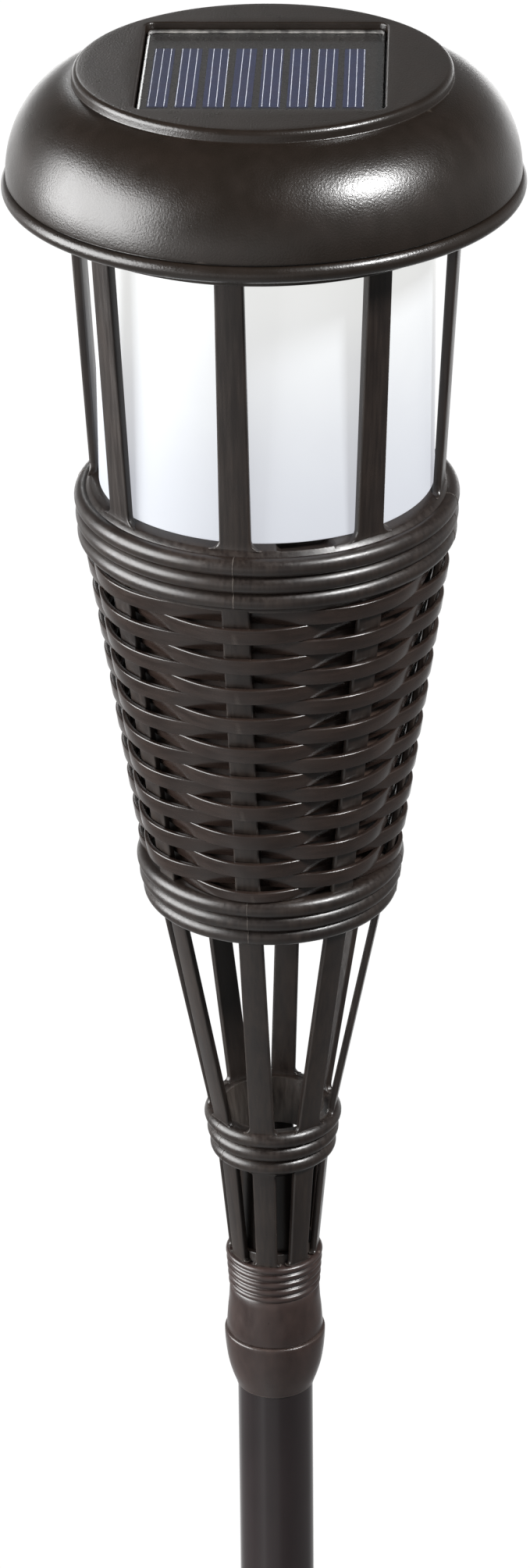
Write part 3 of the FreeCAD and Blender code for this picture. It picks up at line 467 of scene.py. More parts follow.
@dataclass(frozen=True)
class SiliconStrip(Finish):
    """Polycrystalline silicon under a blue coating: its crystals tilt the blue to violet."""

    base: str = "#212a4b"
    violet: str = "#2c2943"
    deep: str = "#171f3c"

    def make(self) -> bpy.types.Material:
        """Build the material.

        Returns:
            The finished material.
        """
        material, tree, place = self.start()
        crystal = add_node(tree, "ShaderNodeTexVoronoi", {
            "Vector": place, "Scale": per_mm(2.4), "Randomness": 1.0})
        tone = add_node(tree, "ShaderNodeMix", {
            0: crystal.outputs["Color"], 6: linear(self.base), 7: linear(self.violet)},
            data_type="RGBA")
        drift = add_node(tree, "ShaderNodeTexNoise", {
            "Vector": place, "Scale": per_mm(14.0), "Detail": 2.0})
        colour = add_node(tree, "ShaderNodeMix", {
            0: drift.outputs[0], 6: tone.outputs[2], 7: linear(self.deep)}, data_type="RGBA")
        rough = add_node(tree, "ShaderNodeMapRange", {
            "Value": crystal.outputs["Color"], "To Min": 0.28, "To Max": 0.42})
        speck = add_node(tree, "ShaderNodeTexNoise", {
            "Vector": place, "Scale": per_mm(0.25), "Detail": 1.0})
        bump = add_node(tree, "ShaderNodeBump", {
            "Height": speck.outputs[0], "Distance": 0.004 * MM, "Strength": 1.0})
        self.close(tree, {"Base Color": colour.outputs[2], "Roughness": rough.outputs[0],
                          "Normal": bump.outputs[0], "IOR": 1.22})
        return material


@dataclass(frozen=True)
class ClearSheet(Finish):
    """Cast acrylic with a polished face: it shows what lies under it and mirrors at low angles."""

    tint: str = "#f2f4f4"
    haze: float = 0.05

    def make(self) -> bpy.types.Material:
        """Build the material.

        Returns:
            The finished material.
        """
        material, tree, place = self.start()
        dust = add_node(tree, "ShaderNodeTexNoise", {
            "Vector": place, "Scale": per_mm(0.6), "Detail": 3.0})
        speck = add_node(tree, "ShaderNodeMapRange", {
            "Value": dust.outputs[0], "From Min": 0.70, "From Max": 0.80, "To Max": 0.25})
        wave = add_node(tree, "ShaderNodeTexNoise", {
            "Vector": place, "Scale": per_mm(11.0), "Detail": 1.0})
        bump = add_node(tree, "ShaderNodeBump", {
            "Height": wave.outputs[0], "Distance": 0.008 * MM, "Strength": 1.0})
        # Schlick's curve, the same from both sides of the sheet.
        slant = add_node(tree, "ShaderNodeLayerWeight", {
            "Blend": 0.5, "Normal": bump.outputs[0]}).outputs["Facing"]
        fifth = add_node(tree, "ShaderNodeMath", {0: slant, 1: 5.0}, operation="POWER")
        mirror = add_node(tree, "ShaderNodeMath", {0: fifth.outputs[0], 1: 0.96, 2: 0.04},
                          operation="MULTIPLY_ADD")
        alpha = add_node(tree, "ShaderNodeMath", {0: mirror.outputs[0], 1: speck.outputs[0]},
                         operation="ADD", use_clamp=True)
        rough = add_node(tree, "ShaderNodeMapRange", {
            "Value": dust.outputs[0], "To Min": self.haze, "To Max": self.haze + 0.06})
        self.close(tree, {"Base Color": linear(self.tint), "Metallic": 1.0,
                          "Roughness": rough.outputs[0], "Normal": bump.outputs[0],
                          "Alpha": alpha.outputs[0]})
        return material


# ABS from a spark-eroded mould: a fine pebble grain that breaks highlights into sparks.
CAP_ABS = Moulding("abs_spark_eroded_mould", base="#16110d", second="#1a1410", edge_wear_and_glint="#6d655d",
                   roughness=0.29, spread=0.02, grain=0.50, grain_height=0.055,
                   streak=(5.0, 9.0), patch=14.0, ripple=0.006, edge_wear_and_glint_strength=0.3)
# Polypropylene from a machined mould: satin, with streaks along each slat.
CAGE_PP = Moulding("polypropylene_satin_mould", base="#16110f", second="#211a16",
                   edge_wear_and_glint="#8d857e", roughness=0.35, spread=0.06, grain=0.40,
                   grain_height=0.026, streak=(0.9, 30.0), patch=12.0, ripple=0.02, edge_wear_and_glint_strength=0.5)
# The same plastic from a polished part of the mould: glossier, with sharp edge glints.
WEAVE_PP = Moulding("polypropylene_polished_mould", base="#1c1512", second="#251c18",
                    edge_wear_and_glint="#a39a91", roughness=0.26, spread=0.06, grain=0.5,
                    grain_height=0.004, streak=(8.0, 1.4), patch=10.0, ripple=0.03, edge_wear_and_glint_strength=0.1)
# Plain side of the sleeve behind the weave: painted paler and duller, light painted into the shaded
# gaps so they do not read as holes.
SLEEVE_PP_PAINTED_LIGHT = Moulding("polypropylene_sleeve_painted_light", base="#3d312b", second="#483a33",
                     edge_wear_and_glint="#8d857e", roughness=0.42, spread=0.05, grain=0.40,
                     grain_height=0.010, streak=(6.0, 12.0), patch=12.0, ripple=0.01, edge_wear_and_glint_strength=0.2)
# Warmer brown polypropylene of the collar, from a bead-blasted mould.
COLLAR_PP = Moulding("polypropylene_bead_blasted_mould", base="#261d1b", second="#2f2421",
                     edge_wear_and_glint="#7f766f", roughness=0.32, spread=0.05, grain=0.28,
                     grain_height=0.010, streak=(3.0, 6.0), patch=8.0, ripple=0.010, edge_wear_and_glint_strength=0.4)
# Powder coat baked on a steel tube: gloss with a faint orange peel.
POLE_COAT = Moulding("powder_coat_gloss_baked", base="#181213", second="#1e1718",
                     edge_wear_and_glint="#5f5754", roughness=0.14, spread=0.03, grain=1.6,
                     grain_height=0.006, streak=(6.0, 40.0), patch=20.0, ripple=0.02, edge_wear_and_glint_strength=0.3,
                     coat=0.3)
# Glass-filled nylon of the stake, moulded: dull, with short fibres near the skin.
STAKE_NYLON = Moulding("glass_filled_nylon_mould", base="#241f1c", second="#322b27",
                       edge_wear_and_glint="#7c736b", roughness=0.5, spread=0.1, grain=0.6,
                       grain_height=0.02, streak=(0.7, 12.0), patch=11.0, ripple=0.02, edge_wear_and_glint_strength=0.6)
# Glass-epoxy panel board under brown lacquer: nearly black, slightly glossy.
BOARD_EPOXY = Moulding("glass_epoxy_brown_lacquer", base="#0f0b09", second="#19120e",
                       edge_wear_and_glint="#4a3d33", roughness=0.30, spread=0.06, grain=0.5,
                       grain_height=0.006, streak=(1.0, 1.0), patch=16.0, ripple=0.01, edge_wear_and_glint_strength=0.2)
# Screen-printed silver paste: pale and a little rough.
FINGER_SILVER = Moulding("screen_printed_silver", base="#c3c8d6", second="#dde0ea",
                         edge_wear_and_glint="#ffffff", roughness=0.5, spread=0.1, grain=0.3,
                         grain_height=0.01, streak=(0.3, 3.0), patch=5.0, edge_wear_and_glint_strength=0.1)
TRAY_ABS = Moulding("abs_fine_mould", base="#2c2825", second="#383330", edge_wear_and_glint="#77706a",
                    roughness=0.45, spread=0.06, grain=0.5, grain_height=0.015,
                    streak=(3.0, 9.0), patch=12.0, edge_wear_and_glint_strength=0.0)
BATTERY_WRAP = Moulding("pvc_shrink_wrap", base="#1f5c37", second="#27693f", edge_wear_and_glint="#7fae8d",
                        roughness=0.26, spread=0.06, grain=2.0, grain_height=0.02,
                        streak=(9.0, 2.0), patch=8.0, ripple=0.03, edge_wear_and_glint_strength=0.3)
SOLDER_MASK = Moulding("solder_mask_on_glass_epoxy", base="#12502c", second="#1a6136",
                       edge_wear_and_glint="#8fae86", roughness=0.3, spread=0.05, grain=0.8,
                       grain_height=0.01, streak=(0.8, 0.8), patch=6.0, edge_wear_and_glint_strength=0.3)
CHIP_EPOXY = Moulding("epoxy_package_mould", base="#171717", second="#222120", edge_wear_and_glint="#4f4d4a",
                      roughness=0.5, spread=0.08, grain=0.2, grain_height=0.01,
                      streak=(1.0, 1.0), patch=3.0, edge_wear_and_glint_strength=0.3)
LED_EPOXY = Moulding("tinted_cast_epoxy", base="#c98a3a", second="#d99f52", edge_wear_and_glint="#f0d3a0",
                     roughness=0.12, spread=0.04, grain=1.0, grain_height=0.004,
                     streak=(2.0, 4.0), patch=4.0, edge_wear_and_glint_strength=0.3, coat=0.5)
WIRE_RED = Moulding("pvc_insulation_red", base="#8e1a16", second="#a3241e", edge_wear_and_glint="#c9837d",
                    roughness=0.35, spread=0.05, grain=0.4, grain_height=0.006,
                    streak=(0.5, 6.0), patch=4.0, edge_wear_and_glint_strength=0.2)
WIRE_BLACK = Moulding("pvc_insulation_black", base="#191918", second="#242322", edge_wear_and_glint="#5c5a57",
                      roughness=0.35, spread=0.05, grain=0.4, grain_height=0.006,
                      streak=(0.5, 6.0), patch=4.0, edge_wear_and_glint_strength=0.2)
SWITCH_NYLON = Moulding("nylon_fine_mould", base="#1c1b1a", second="#282625", edge_wear_and_glint="#6a6763",
                        roughness=0.42, spread=0.06, grain=0.3, grain_height=0.01,
                        streak=(1.5, 5.0), patch=5.0, edge_wear_and_glint_strength=0.4)
SPRING_STEEL = Plated("nickel_plated_spring_steel", base="#c9c5bc", dull="#9c978c",
                      roughness=0.24)
SCREW_STEEL = Plated("zinc_plated_steel", base="#b4b6b8", dull="#7f8287", roughness=0.3)
LENS_FROST = FrostedDiffuser("polypropylene_frosted")
CELL_SILICON = SiliconStrip("polycrystalline_silicon")
COVER_ACRYLIC = ClearSheet("acrylic_cast_polished")
# Sawn edge of the cover: frosted and paler in its own right, with pale patches and white edges
# added as a painted highlight along the edge.
EDGE_ACRYLIC_PAINTED_GLINT = Moulding("acrylic_sawn_edge_painted_glint", base="#24211f", second="#7d7a75", edge_wear_and_glint="#ffffff",
                        roughness=0.3, spread=0.1, grain=0.5, grain_height=0.03,
                        streak=(2.2, 2.2), patch=3.5, edge_wear_and_glint_strength=0.6)


class Paintbox:
    """Makes each finish once and hands it out."""

    def __init__(self) -> None:
        """Start with no material made."""
        self.made: dict[str, bpy.types.Material] = {}

    def get(self, finish: Finish) -> bpy.types.Material:
        """Material of a finish, made at its first use."""
        if finish.name not in self.made:
            self.made[finish.name] = finish.make()
        return self.made[finish.name]


PAINTS = Paintbox()


# --------------------------------------------------------------------------
# Pieces
# --------------------------------------------------------------------------
@dataclass
class Assembly:
    """A sub-assembly: it builds its pieces, dresses them and puts them on a body."""

    body: Body

    def put(self, obj: bpy.types.Object, slot: str, finishes: Sequence[Finish],
            nodes: Sequence[str] = ()) -> None:
        """Dress a piece, stand it for CAD nodes and let it ride.

        Args:
            obj: The piece.
            slot: Material slot of the record; not used.
            finishes: Finishes by material number.
            nodes: CAD nodes that the piece stands for.
        """
        for finish in finishes:
            obj.data.materials.append(PAINTS.get(finish))
        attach(obj, self.body.value)
        if nodes:
            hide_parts(*nodes)
        LOG.info("%s: %d faces", obj.name, len(obj.data.polygons))


def rect_reach(angle: float, half_x: float, half_y: float, corner: float) -> float:
    """Distance from the middle of a rounded rectangle to its outline.

    Args:
        angle: Direction in radians.
        half_x: Half the width.
        half_y: Half the depth.
        corner: Corner radius.

    Returns:
        The distance along that direction.
    """
    ux, uy = abs(math.cos(angle)), abs(math.sin(angle))
    reach = min(half_x / max(ux, 1e-9), half_y / max(uy, 1e-9))
    if reach * ux > half_x - corner and reach * uy > half_y - corner:
        cx, cy = half_x - corner, half_y - corner
        along = ux * cx + uy * cy
        reach = along + math.sqrt(max(0.0, along * along - (cx * cx + cy * cy - corner * corner)))
    return reach


def rect_loop(half_x: float, half_y: float, corner: float, height: float, count: int) -> Loop:
    """Loop of points round a rounded rectangle, spaced by direction."""
    return [polar(rect_reach(TURN * i / count, half_x, half_y, corner), TURN * i / count, height)
            for i in range(count)]


@dataclass
class CapShell(Assembly):
    """Domed cap with the panel recess, rim bead, skirt, ledge, lugs and bosses; sizes in mm."""

    body: Body = Body.CAP
    rise: float = CAP_RISE
    rim_radius: float = 62.5
    bead: float = 2.2
    bead_inner: float = 59.7
    wall: float = 2.0
    disc_radius: float = 45.0
    disc_round: float = 1.4
    # The shoulder is a quarter ellipse from (shoulder, level) out and down to (side, foot).
    shoulder: float = 41.7
    side: float = 61.4
    foot: float = 2.9
    level: float = 26.0
    # Corners of the groove between the shoulder and the bead, with their roundings.
    groove: tuple[tuple[float, float, float], ...] = (
        (61.38, 2.35, 0.25), (60.65, 2.2, 0.18), (60.7, 1.95, 0.1))
    bead_arc: Point = (58.0, -88.0)  # degrees
    ceiling: float = 22.3
    window: Point = (58.0, 60.0)
    window_round: float = 2.5
    recess: float = 3.9
    # Growth of the window's outline and height over the recess's floor, up to its wall.
    recess_foot: tuple[Point, ...] = ((-6.0, 0.0), (-0.5, 0.0), (-0.15, 0.1), (0.0, 0.45))
    # Growth of the outline and depth under the disc, over the rounded lip.
    recess_lip: tuple[Point, ...] = (
        (0.04, 0.45), (0.08, 0.25), (0.2, 0.1), (0.38, 0.02), (0.6, 0.0))
    skirt: Point = (51.0, 52.8)
    skirt_span: Point = (-6.3, 20.0)
    ledge: float = 48.4
    ledge_span: Point = (-1.5, 1.0)
    lug_angle: float = 14.0
    lug_height: float = 2.0
    lug_steps: int = 8
    root: float = 0.4  # how far the ledge and the lugs reach into the skirt
    bosses: tuple[Point, ...] = ((26.0, 21.0), (-26.0, 21.0), (0.0, -31.5))
    boss_radii: Point = (1.25, 3.2)
    boss_span: Point = (14.0, 22.6)
    segments: int = 512

    @property
    def rim(self) -> float:
        """Height of the rim bead's centre."""
        return node_span("cap_shell")[1].z - self.rise

    def shoulder_points(self, inset: float, start: float, stop: float, steps: int) -> list[Point]:
        """Points down the shoulder's quarter ellipse.

        Args:
            inset: How far the line is set in from the outside.
            start: First angle from the top, in degrees.
            stop: Last angle.
            steps: Number of chords.

        Returns:
            (radius, height over the rim) points.
        """
        out = []
        wide, tall = self.side - self.shoulder, self.level - self.foot
        for i in range(steps + 1):
            t = math.radians(start + (stop - start) * i / steps)
            normal = Vector((math.sin(t) / wide, math.cos(t) / tall)).normalized()
            out.append((self.shoulder + wide * math.sin(t) - inset * normal.x,
                        self.foot + tall * math.cos(t) - inset * normal.y))
        return out

    def outside(self) -> list[Point]:
        """Draw the outside from the disc's edge to the bead's underside.

        Returns:
            (radius, height over the rim) points.
        """
        top, clear = self.rise, 0.3
        meet = math.degrees(math.asin((self.disc_radius + clear - self.shoulder)
                                      / (self.side - self.shoulder)))
        shoulder = self.shoulder_points(0.0, meet, 90.0, 44)
        edge = arc_points((self.disc_radius - self.disc_round, top - self.disc_round),
                          self.disc_round, 90.0, 0.0, 8)
        step = rounded([(self.disc_radius, top - self.disc_round),
                        (self.disc_radius, shoulder[0][1] + 0.05, 0.35), shoulder[1]], False)[1:-1]
        groove = rounded([(self.side, self.foot), *self.groove], False, 3)[1:]
        bead = arc_points((self.rim_radius - self.bead, 0.0), self.bead, *self.bead_arc, 22)
        return edge + step + shoulder[1:] + groove + bead

    def build(self) -> None:
        """Build the shell with its recess and the parts moulded to its inside."""
        rim, top, count = self.rim, self.rise, self.segments
        half_x, half_y = self.window[0] / 2.0, self.window[1] / 2.0
        floor = top - self.recess
        steps = [(grow, floor + over) for grow, over in self.recess_foot]
        steps.append((self.recess_lip[0][0] / 2.0, (floor + top) / 2.0))
        steps += [(grow, top - under) for grow, under in self.recess_lip]
        loops = [rect_loop(half_x + grow, half_y + grow, self.window_round + max(grow, -1.0),
                           rim + height, count) for grow, height in steps]
        rim_edge = self.disc_radius - self.disc_round
        inner = loops[-1]
        for share in (0.3, 0.6, 0.85):
            loops.append([polar((1 - share) * math.hypot(p.x, p.y) / MM + share * rim_edge,
                                TURN * i / count, rim + top) for i, p in enumerate(inner)])
        profile = self.outside() + [(self.bead_inner, -self.bead)]
        profile += list(reversed(self.shoulder_points(self.wall, 24.0, 90.0, 20)))
        profile += [(40.0, self.ceiling), (6.0, self.ceiling)]
        loops += [[polar(r, TURN * i / count, rim + z) for i in range(count)] for r, z in profile]
        draft = Draft()
        draft.skin(loops)
        near, far = self.skirt
        low, high = (rim + z for z in self.skirt_span)
        draft.lathe(rounded([(near, low, 0.4), (far, low, 0.4), (far, high), (near, high)]), 192)
        low, high = (rim + z for z in self.ledge_span)
        draft.lathe(rounded([(self.ledge, low, 0.2), (near + self.root, low),
                             (near + self.root, high), (self.ledge, high, 0.4)]), 192)
        for k in range(3):
            self.lug(draft, 60.0 + 120.0 * k)
        near, far = self.boss_radii
        low, high = (rim + z for z in self.boss_span)
        for spot in self.bosses:
            draft.lathe(rounded([(near, low), (far, low, 0.3), (far, high), (near, high)]), 40,
                        centre=spot)
        self.put(draft.make("cap_moulding"), "cap_brown", [CAP_ABS], ["cap_shell"])

    def lug(self, draft: Draft, middle: float) -> None:
        """Add one locking lug on the inside of the skirt.

        Args:
            draft: Draft of the shell.
            middle: Direction of the lug's middle, in degrees.
        """
        low, root = self.rim + self.skirt_span[0], self.skirt[0] + self.root
        high = low + self.lug_height
        section = rounded([(self.ledge, low, 0.3), (root, low), (root, high),
                           (self.ledge, high, 0.3)])
        loops = []
        for i in range(self.lug_steps + 1):
            angle = math.radians(middle + self.lug_angle * (i / self.lug_steps - 0.5))
            loops.append([polar(r, angle, z) for r, z in section])
        draft.skin(loops)


@dataclass
class SolarPanel(Assembly):
    """Board, silicon strips with their silver fingers, and the clear cover; sizes in mm."""

    body: Body = Body.CAP
    strip_width: float = 5.0
    offset: float = 0.9
    # Distance of each finger from its strip's left edge.
    fingers: tuple[tuple[float, ...], ...] = (
        (0.4, 2.2, 4.1), (0.3, 2.1, 3.9), (1.3, 3.1, 4.85), (1.7, 3.5),
        (0.8, 2.6, 4.5), (0.8, 2.7, 4.5), (0.3, 2.1, 3.9), (1.2, 3.0, 4.7))
    finger_width: float = 0.16
    finger_inset: float = 0.2   # from the strip's ends
    finger_rise: Point = (0.08, 0.01)  # foot and top of a finger under the node's top
    strip_inset: float = 0.05
    strip_drop: float = 0.06
    lean: float = 0.12          # most that a hand-laid strip leans sideways
    plate_corner: float = 2.0
    board_bevel: float = 0.12
    cover_bevel: float = 0.28

    def plate(self, node: str, bevel: float) -> Draft:
        """Draw a rounded plate with bevelled edges that fills a CAD node's box.

        Args:
            node: Name of the CAD node.
            bevel: Size of the bevel on the upper edge.

        Returns:
            The plate's draft.
        """
        low, high = node_span(node)
        half_x, half_y = (high.x - low.x) / 2.0, (high.y - low.y) / 2.0
        draft = Draft()
        steps = [(-4.0 * bevel, low.z), (-bevel, low.z), (0.0, low.z + bevel * 0.6),
                 (0.0, high.z - bevel), (-0.3 * bevel, high.z - 0.3 * bevel),
                 (-bevel, high.z), (-4.0 * bevel, high.z)]
        draft.skin([rect_loop(half_x + grow, half_y + grow, self.plate_corner, z, 256)
                    for grow, z in steps])
        return draft

    def build(self) -> None:
        """Build the board, strips, fingers and cover."""
        board = self.plate("solar_board", self.board_bevel)
        self.put(board.make("panel_board"), "board_dark", [BOARD_EPOXY], ["solar_board"])
        low, high = node_span("solar_cells")
        pitch = (high.x - low.x - self.strip_width) / (len(self.fingers) - 1)
        strips, lines = Draft(), Draft()
        for i, spots in enumerate(self.fingers):
            left = low.x + self.offset + i * pitch
            skew = self.lean * math.sin(2.3 * i + 0.7)
            inset, half = self.strip_inset, self.finger_width / 2
            self.bar(strips, (left + inset + skew * 0.4, left + self.strip_width - inset),
                     (low.y + inset, high.y - inset), (low.z, high.z - self.strip_drop), skew)
            for spot in spots:
                self.bar(lines, (left + spot - half, left + spot + half),
                         (low.y + self.finger_inset, high.y - self.finger_inset),
                         (high.z - self.finger_rise[0], high.z - self.finger_rise[1]), skew)
        self.put(strips.make("silicon_strips", 20.0), "cell_blue", [CELL_SILICON], ["solar_cells"])
        self.put(lines.make("silver_fingers", 20.0), "cell_blue", [FINGER_SILVER])
        cover = self.plate("panel_cover", self.cover_bevel)
        # The cover's sides take the sawn-edge finish, which carries a painted highlight.
        self.paint_edges(cover)
        self.put(cover.make("panel_glazing", 25.0), "cover_clear", [COVER_ACRYLIC, EDGE_ACRYLIC_PAINTED_GLINT],
                 ["panel_cover"])

    @staticmethod
    def paint_edges(cover: Draft) -> None:
        """Give the cover's sawn sides the edge finish, and leave its faces clear.

        Args:
            cover: Draft of the cover.
        """
        level = 0.05 * MM
        for k, corners in enumerate(cover.faces):
            heights = [cover.verts[c].z for c in corners]
            if len(corners) == 4 and max(heights) - min(heights) > level:
                cover.paints[k] = 1

    @staticmethod
    def bar(draft: Draft, wide: Point, deep: Point, tall: Point, skew: float) -> None:
        """Add a long thin bar along Y that leans sideways.

        Args:
            draft: Draft that gets the bar.
            wide: Its two sides in X.
            deep: Its two ends in Y.
            tall: Its foot and top.
            skew: How far it leans from one end to the other.
        """
        (x0, x1), (y0, y1), (z0, z1) = wide, deep, tall
        loops, edge, steps = [], 0.02, 8
        for k in range(steps + 1):
            share = k / steps
            y, lean = y0 + (y1 - y0) * share, skew * (share - 0.5)
            loops.append([Vector(p) * MM for p in (
                (x0 + lean, y, z0), (x1 + lean, y, z0), (x1 + lean, y, z1 - edge),
                (x1 + lean - edge, y, z1), (x0 + lean + edge, y, z1), (x0 + lean, y, z1 - edge))])
        draft.skin(loops)


@dataclass
class Cage(Assembly):
    """Top ring, eight slats, hub and spigot, with the bands round them; sizes in mm."""

    body: Body = Body.HEAD
    turn: float = -8.3
    count: int = 8
    # Drop below the rim, outer radius, width and thickness along a slat.
    stations: tuple[tuple[float, float, float, float], ...] = (
        (4.0, 47.7, 7.0, 2.6), (77.6, 43.4, 7.8, 2.0), (93.0, 44.1, 7.0, 1.8),
        (179.0, 31.55, 6.4, 1.8), (252.0, 16.9, 6.6, 1.8), (268.0, 14.3, 6.2, 1.8),
        (298.4, 11.5, 5.6, 1.8))
    edge: float = 0.55
    rope: float = 2.35
    neck_rope: float = 2.2
    upper_ropes: tuple[Point, ...] = ((80.9, 47.2), (85.4, 46.95), (89.9, 46.6))
    lower_ropes: tuple[Point, ...] = ((180.4, 33.8), (184.6, 33.2), (188.9, 32.3))
    neck_ropes: tuple[Point, ...] = ((256.9, 17.8), (261.3, 17.1), (265.7, 16.4))
    top_ring: Point = (43.6, 50.0)
    ring_span: Point = (-4.0, -1.5)
    gate: float = 20.0        # degrees of ring cut back for each lug
    gate_radius: float = 48.0
    first_gate: float = 85.0  # direction of the first gate, in degrees
    spigot: Point = (7.54, 9.14)
    spigot_length: float = 40.0
    hub: Point = (10.2, 4.6)  # radius and height
    # Half-width of the notch in the shelf: full depth up to the first, none past the second.
    notch: Point = (5.6, 7.4)
    notch_depth: float = 1.9
    # Half-width, height over the ring and depth in the ring of a parting ridge.
    ridge: tuple[float, float, float] = (0.13, 0.09, 0.1)
    # Drop, radius and direction of the fillets where a slat runs into a ring.
    fillets: tuple[tuple[float, float, float], ...] = (
        (77.4, 2.6, 1.0), (191.0, 1.2, -1.0), (254.9, 1.6, 1.0), (268.2, 1.0, -1.0),
        (297.9, 1.0, 1.0), (4.0, 2.0, -1.0))

    @property
    def front(self) -> float:
        """Direction of the front slat, in radians."""
        return math.radians(self.turn - 90.0)

    def slat_at(self, drop: float) -> tuple[float, float, float]:
        """Look up a slat's section.

        Args:
            drop: Distance below the rim.

        Returns:
            Outer radius, width and thickness.
        """
        for a, b in zip(self.stations, self.stations[1:]):
            if drop <= b[0]:
                t = max(0.0, (drop - a[0]) / (b[0] - a[0]))
                return tuple(a[k] + (b[k] - a[k]) * t for k in (1, 2, 3))
        return self.stations[-1][1:]

    def flare(self, drop: float) -> float:
        """Work out the quarter-round fillets where a slat runs into a ring.

        Args:
            drop: Distance below the rim.

        Returns:
            Extra half-width of the slat there.
        """
        extra = 0.0
        for end, size, side in self.fillets:
            away = (end - drop) * side
            if 0.0 <= away < size:
                extra = max(extra, size - math.sqrt(size * size - (size - away) ** 2))
        return extra

    def slat_drops(self) -> list[float]:
        """List where a slat gets a section.

        Returns:
            Drops below the rim, closer together in the fillets.
        """
        first, last = self.stations[0][0], self.stations[-1][0]
        drops = {s[0] for s in self.stations}
        for end, size, side in self.fillets:
            for k in range(9):
                drops.add(round(end - side * size * (k / 8.0) ** 1.5, 3))
        drops |= {first + 7.36 * k for k in range(11)}
        drops |= {191.0 + 5.0 * k for k in range(1, 13)} | {269.0 + 5.0 * k for k in range(1, 6)}
        return sorted(d for d in drops if first <= d <= last)

    def slat(self, draft: Draft, angle: float) -> None:
        """Add one slat.

        Args:
            draft: Draft of the frame.
            angle: Direction that the slat faces, in radians.
        """
        rim, taper = rim_height(), 0.15
        spin = Matrix.Rotation(angle, 4, "Z")
        loops = []
        for drop in self.slat_drops():
            radius, width, thick = self.slat_at(drop)
            half = width / 2.0 + self.flare(drop)
            edge = min(self.edge, thick * 0.33)
            section = rounded([(radius, -half, edge), (radius, half, edge),
                               (radius - thick, half - taper, edge),
                               (radius - thick, -half + taper, edge)], steps=3)
            loops.append([spin @ (Vector((r, s, rim - drop)) * MM) for r, s in section])
        draft.skin(loops)

    def build_frame(self) -> None:
        """Build the top ring with its gates, the slats, the hub and the spigot."""
        draft = Draft()
        for k in range(self.count):
            self.slat(draft, self.front + TURN * k / self.count)
        low, high = (rim_height() + z for z in self.ring_span)
        inner, loops = self.top_ring[0], []
        for i in range(360):
            away = min(abs((i - self.first_gate - 120.0 * k + 180.0) % 360.0 - 180.0)
                       for k in range(3))
            outer = self.gate_radius if away < self.gate / 2.0 else self.top_ring[1]
            section = rounded([(inner, low, 0.3), (outer, low, 0.3),
                               (outer, high, 0.3), (inner, high, 0.3)], steps=2)
            loops.append([polar(r, math.radians(i), z) for r, z in section])
        draft.skin(loops, Ends.JOINED)
        foot = node_span("cage_frame")[0].z
        seat, top = foot + self.spigot_length, foot + self.spigot_length + self.hub[1]
        draft.lathe(rounded([(self.spigot[0], foot, 0.2), (self.spigot[1], foot, 0.6),
                             (self.spigot[1], seat), (self.hub[0], seat),
                             (self.hub[0], top, 0.3), (self.spigot[0], top, 0.3)]), 96)
        self.put(draft.make("cage_moulding", 35.0), "cage_brown", [CAGE_PP], ["cage_frame"])

    def rope_profile(self, ropes: Sequence[Point], section: float, first: float,
                     last: float) -> list[Point]:
        """Outside of three rings, from the first angle on the top one to the last on the lowest.

        Args:
            ropes: (drop, outer radius) of each ring.
            section: Radius of a ring's section.
            first: Start angle on the top ring, in degrees.
            last: End angle on the lowest ring.

        Returns:
            (radius, height over the rim) points.
        """
        out: list[Point] = []
        crease = 68.0  # degrees, where two rings meet
        for k, (drop, outer) in enumerate(ropes):
            start = first if k == 0 else crease
            stop = last if k == len(ropes) - 1 else -crease
            out += arc_points((outer - section, -drop), section, start, stop, 14)
        return out

    def build_upper_band(self) -> None:
        """Build the upper band: three rings and the shelf under the lens, with its notch."""
        top, rim = -self.stations[1][0], rim_height()
        notch = self.front + math.pi / self.count
        ropes = self.rope_profile(self.upper_ropes, self.rope, 104.0, -88.0)
        count, shelf_radius = 720, 42.0
        lengthwise: list[Loop] = []
        for i in range(count):
            angle = TURN * i / count
            away = abs((angle - notch + math.pi) % TURN - math.pi) * shelf_radius
            deep = 1.0 - smooth_step(away, *self.notch)
            sunk = top + 1.0 - self.notch_depth * deep
            # The seat under the lens, the notch behind the lens and the shelf's outer lip.
            section = [(36.0, top - 2.0), (36.0, top + 0.8), (36.2, top + 1.0),
                       (38.4, top + 1.0), (38.5, sunk), (41.1, sunk),
                       (42.9, top + 0.35 - 1.25 * deep), (43.1, top + 0.28 - 0.3 * deep),
                       (43.5, top + 0.1)]
            section += ropes + [(44.0, -93.3), (39.2, -93.3), (39.2, top - 2.0)]
            lengthwise.append([polar(r, angle, rim + z) for r, z in section])
        draft = Draft()
        draft.skin(lengthwise, Ends.JOINED)
        self.partings(draft, ropes, (0.0, 90.0, -90.0, 180.0))
        self.put(draft.make("upper_band_rings"), "cage_brown", [CAGE_PP], ["upper_band"])

    def partings(self, draft: Draft, profile: Sequence[Point], lines: Sequence[float]) -> None:
        """Add the thin ridges that the mould's parts leave where they meet.

        Args:
            draft: Draft of the band.
            profile: (radius, height over the rim) points of the band's outside.
            lines: Directions of the ridges from the front slat, in degrees.
        """
        rim = rim_height()
        half, rise, sink = self.ridge
        for line in lines:
            angle, loops = self.front + math.radians(line), []
            for k, (r, z) in enumerate(profile):
                a, b = profile[max(k - 1, 0)], profile[min(k + 1, len(profile) - 1)]
                along = Vector((b[0] - a[0], b[1] - a[1])).normalized()
                out, spot, side = Vector((-along.y, along.x)), Vector((r, z)), half / max(r, 1.0)
                high, low = spot + out * rise, spot - out * sink
                loops.append([polar(low.x, angle - side, rim + low.y),
                              polar(high.x, angle - side * 0.35, rim + high.y),
                              polar(high.x, angle + side * 0.35, rim + high.y),
                              polar(low.x, angle + side, rim + low.y)])
            draft.skin(loops)

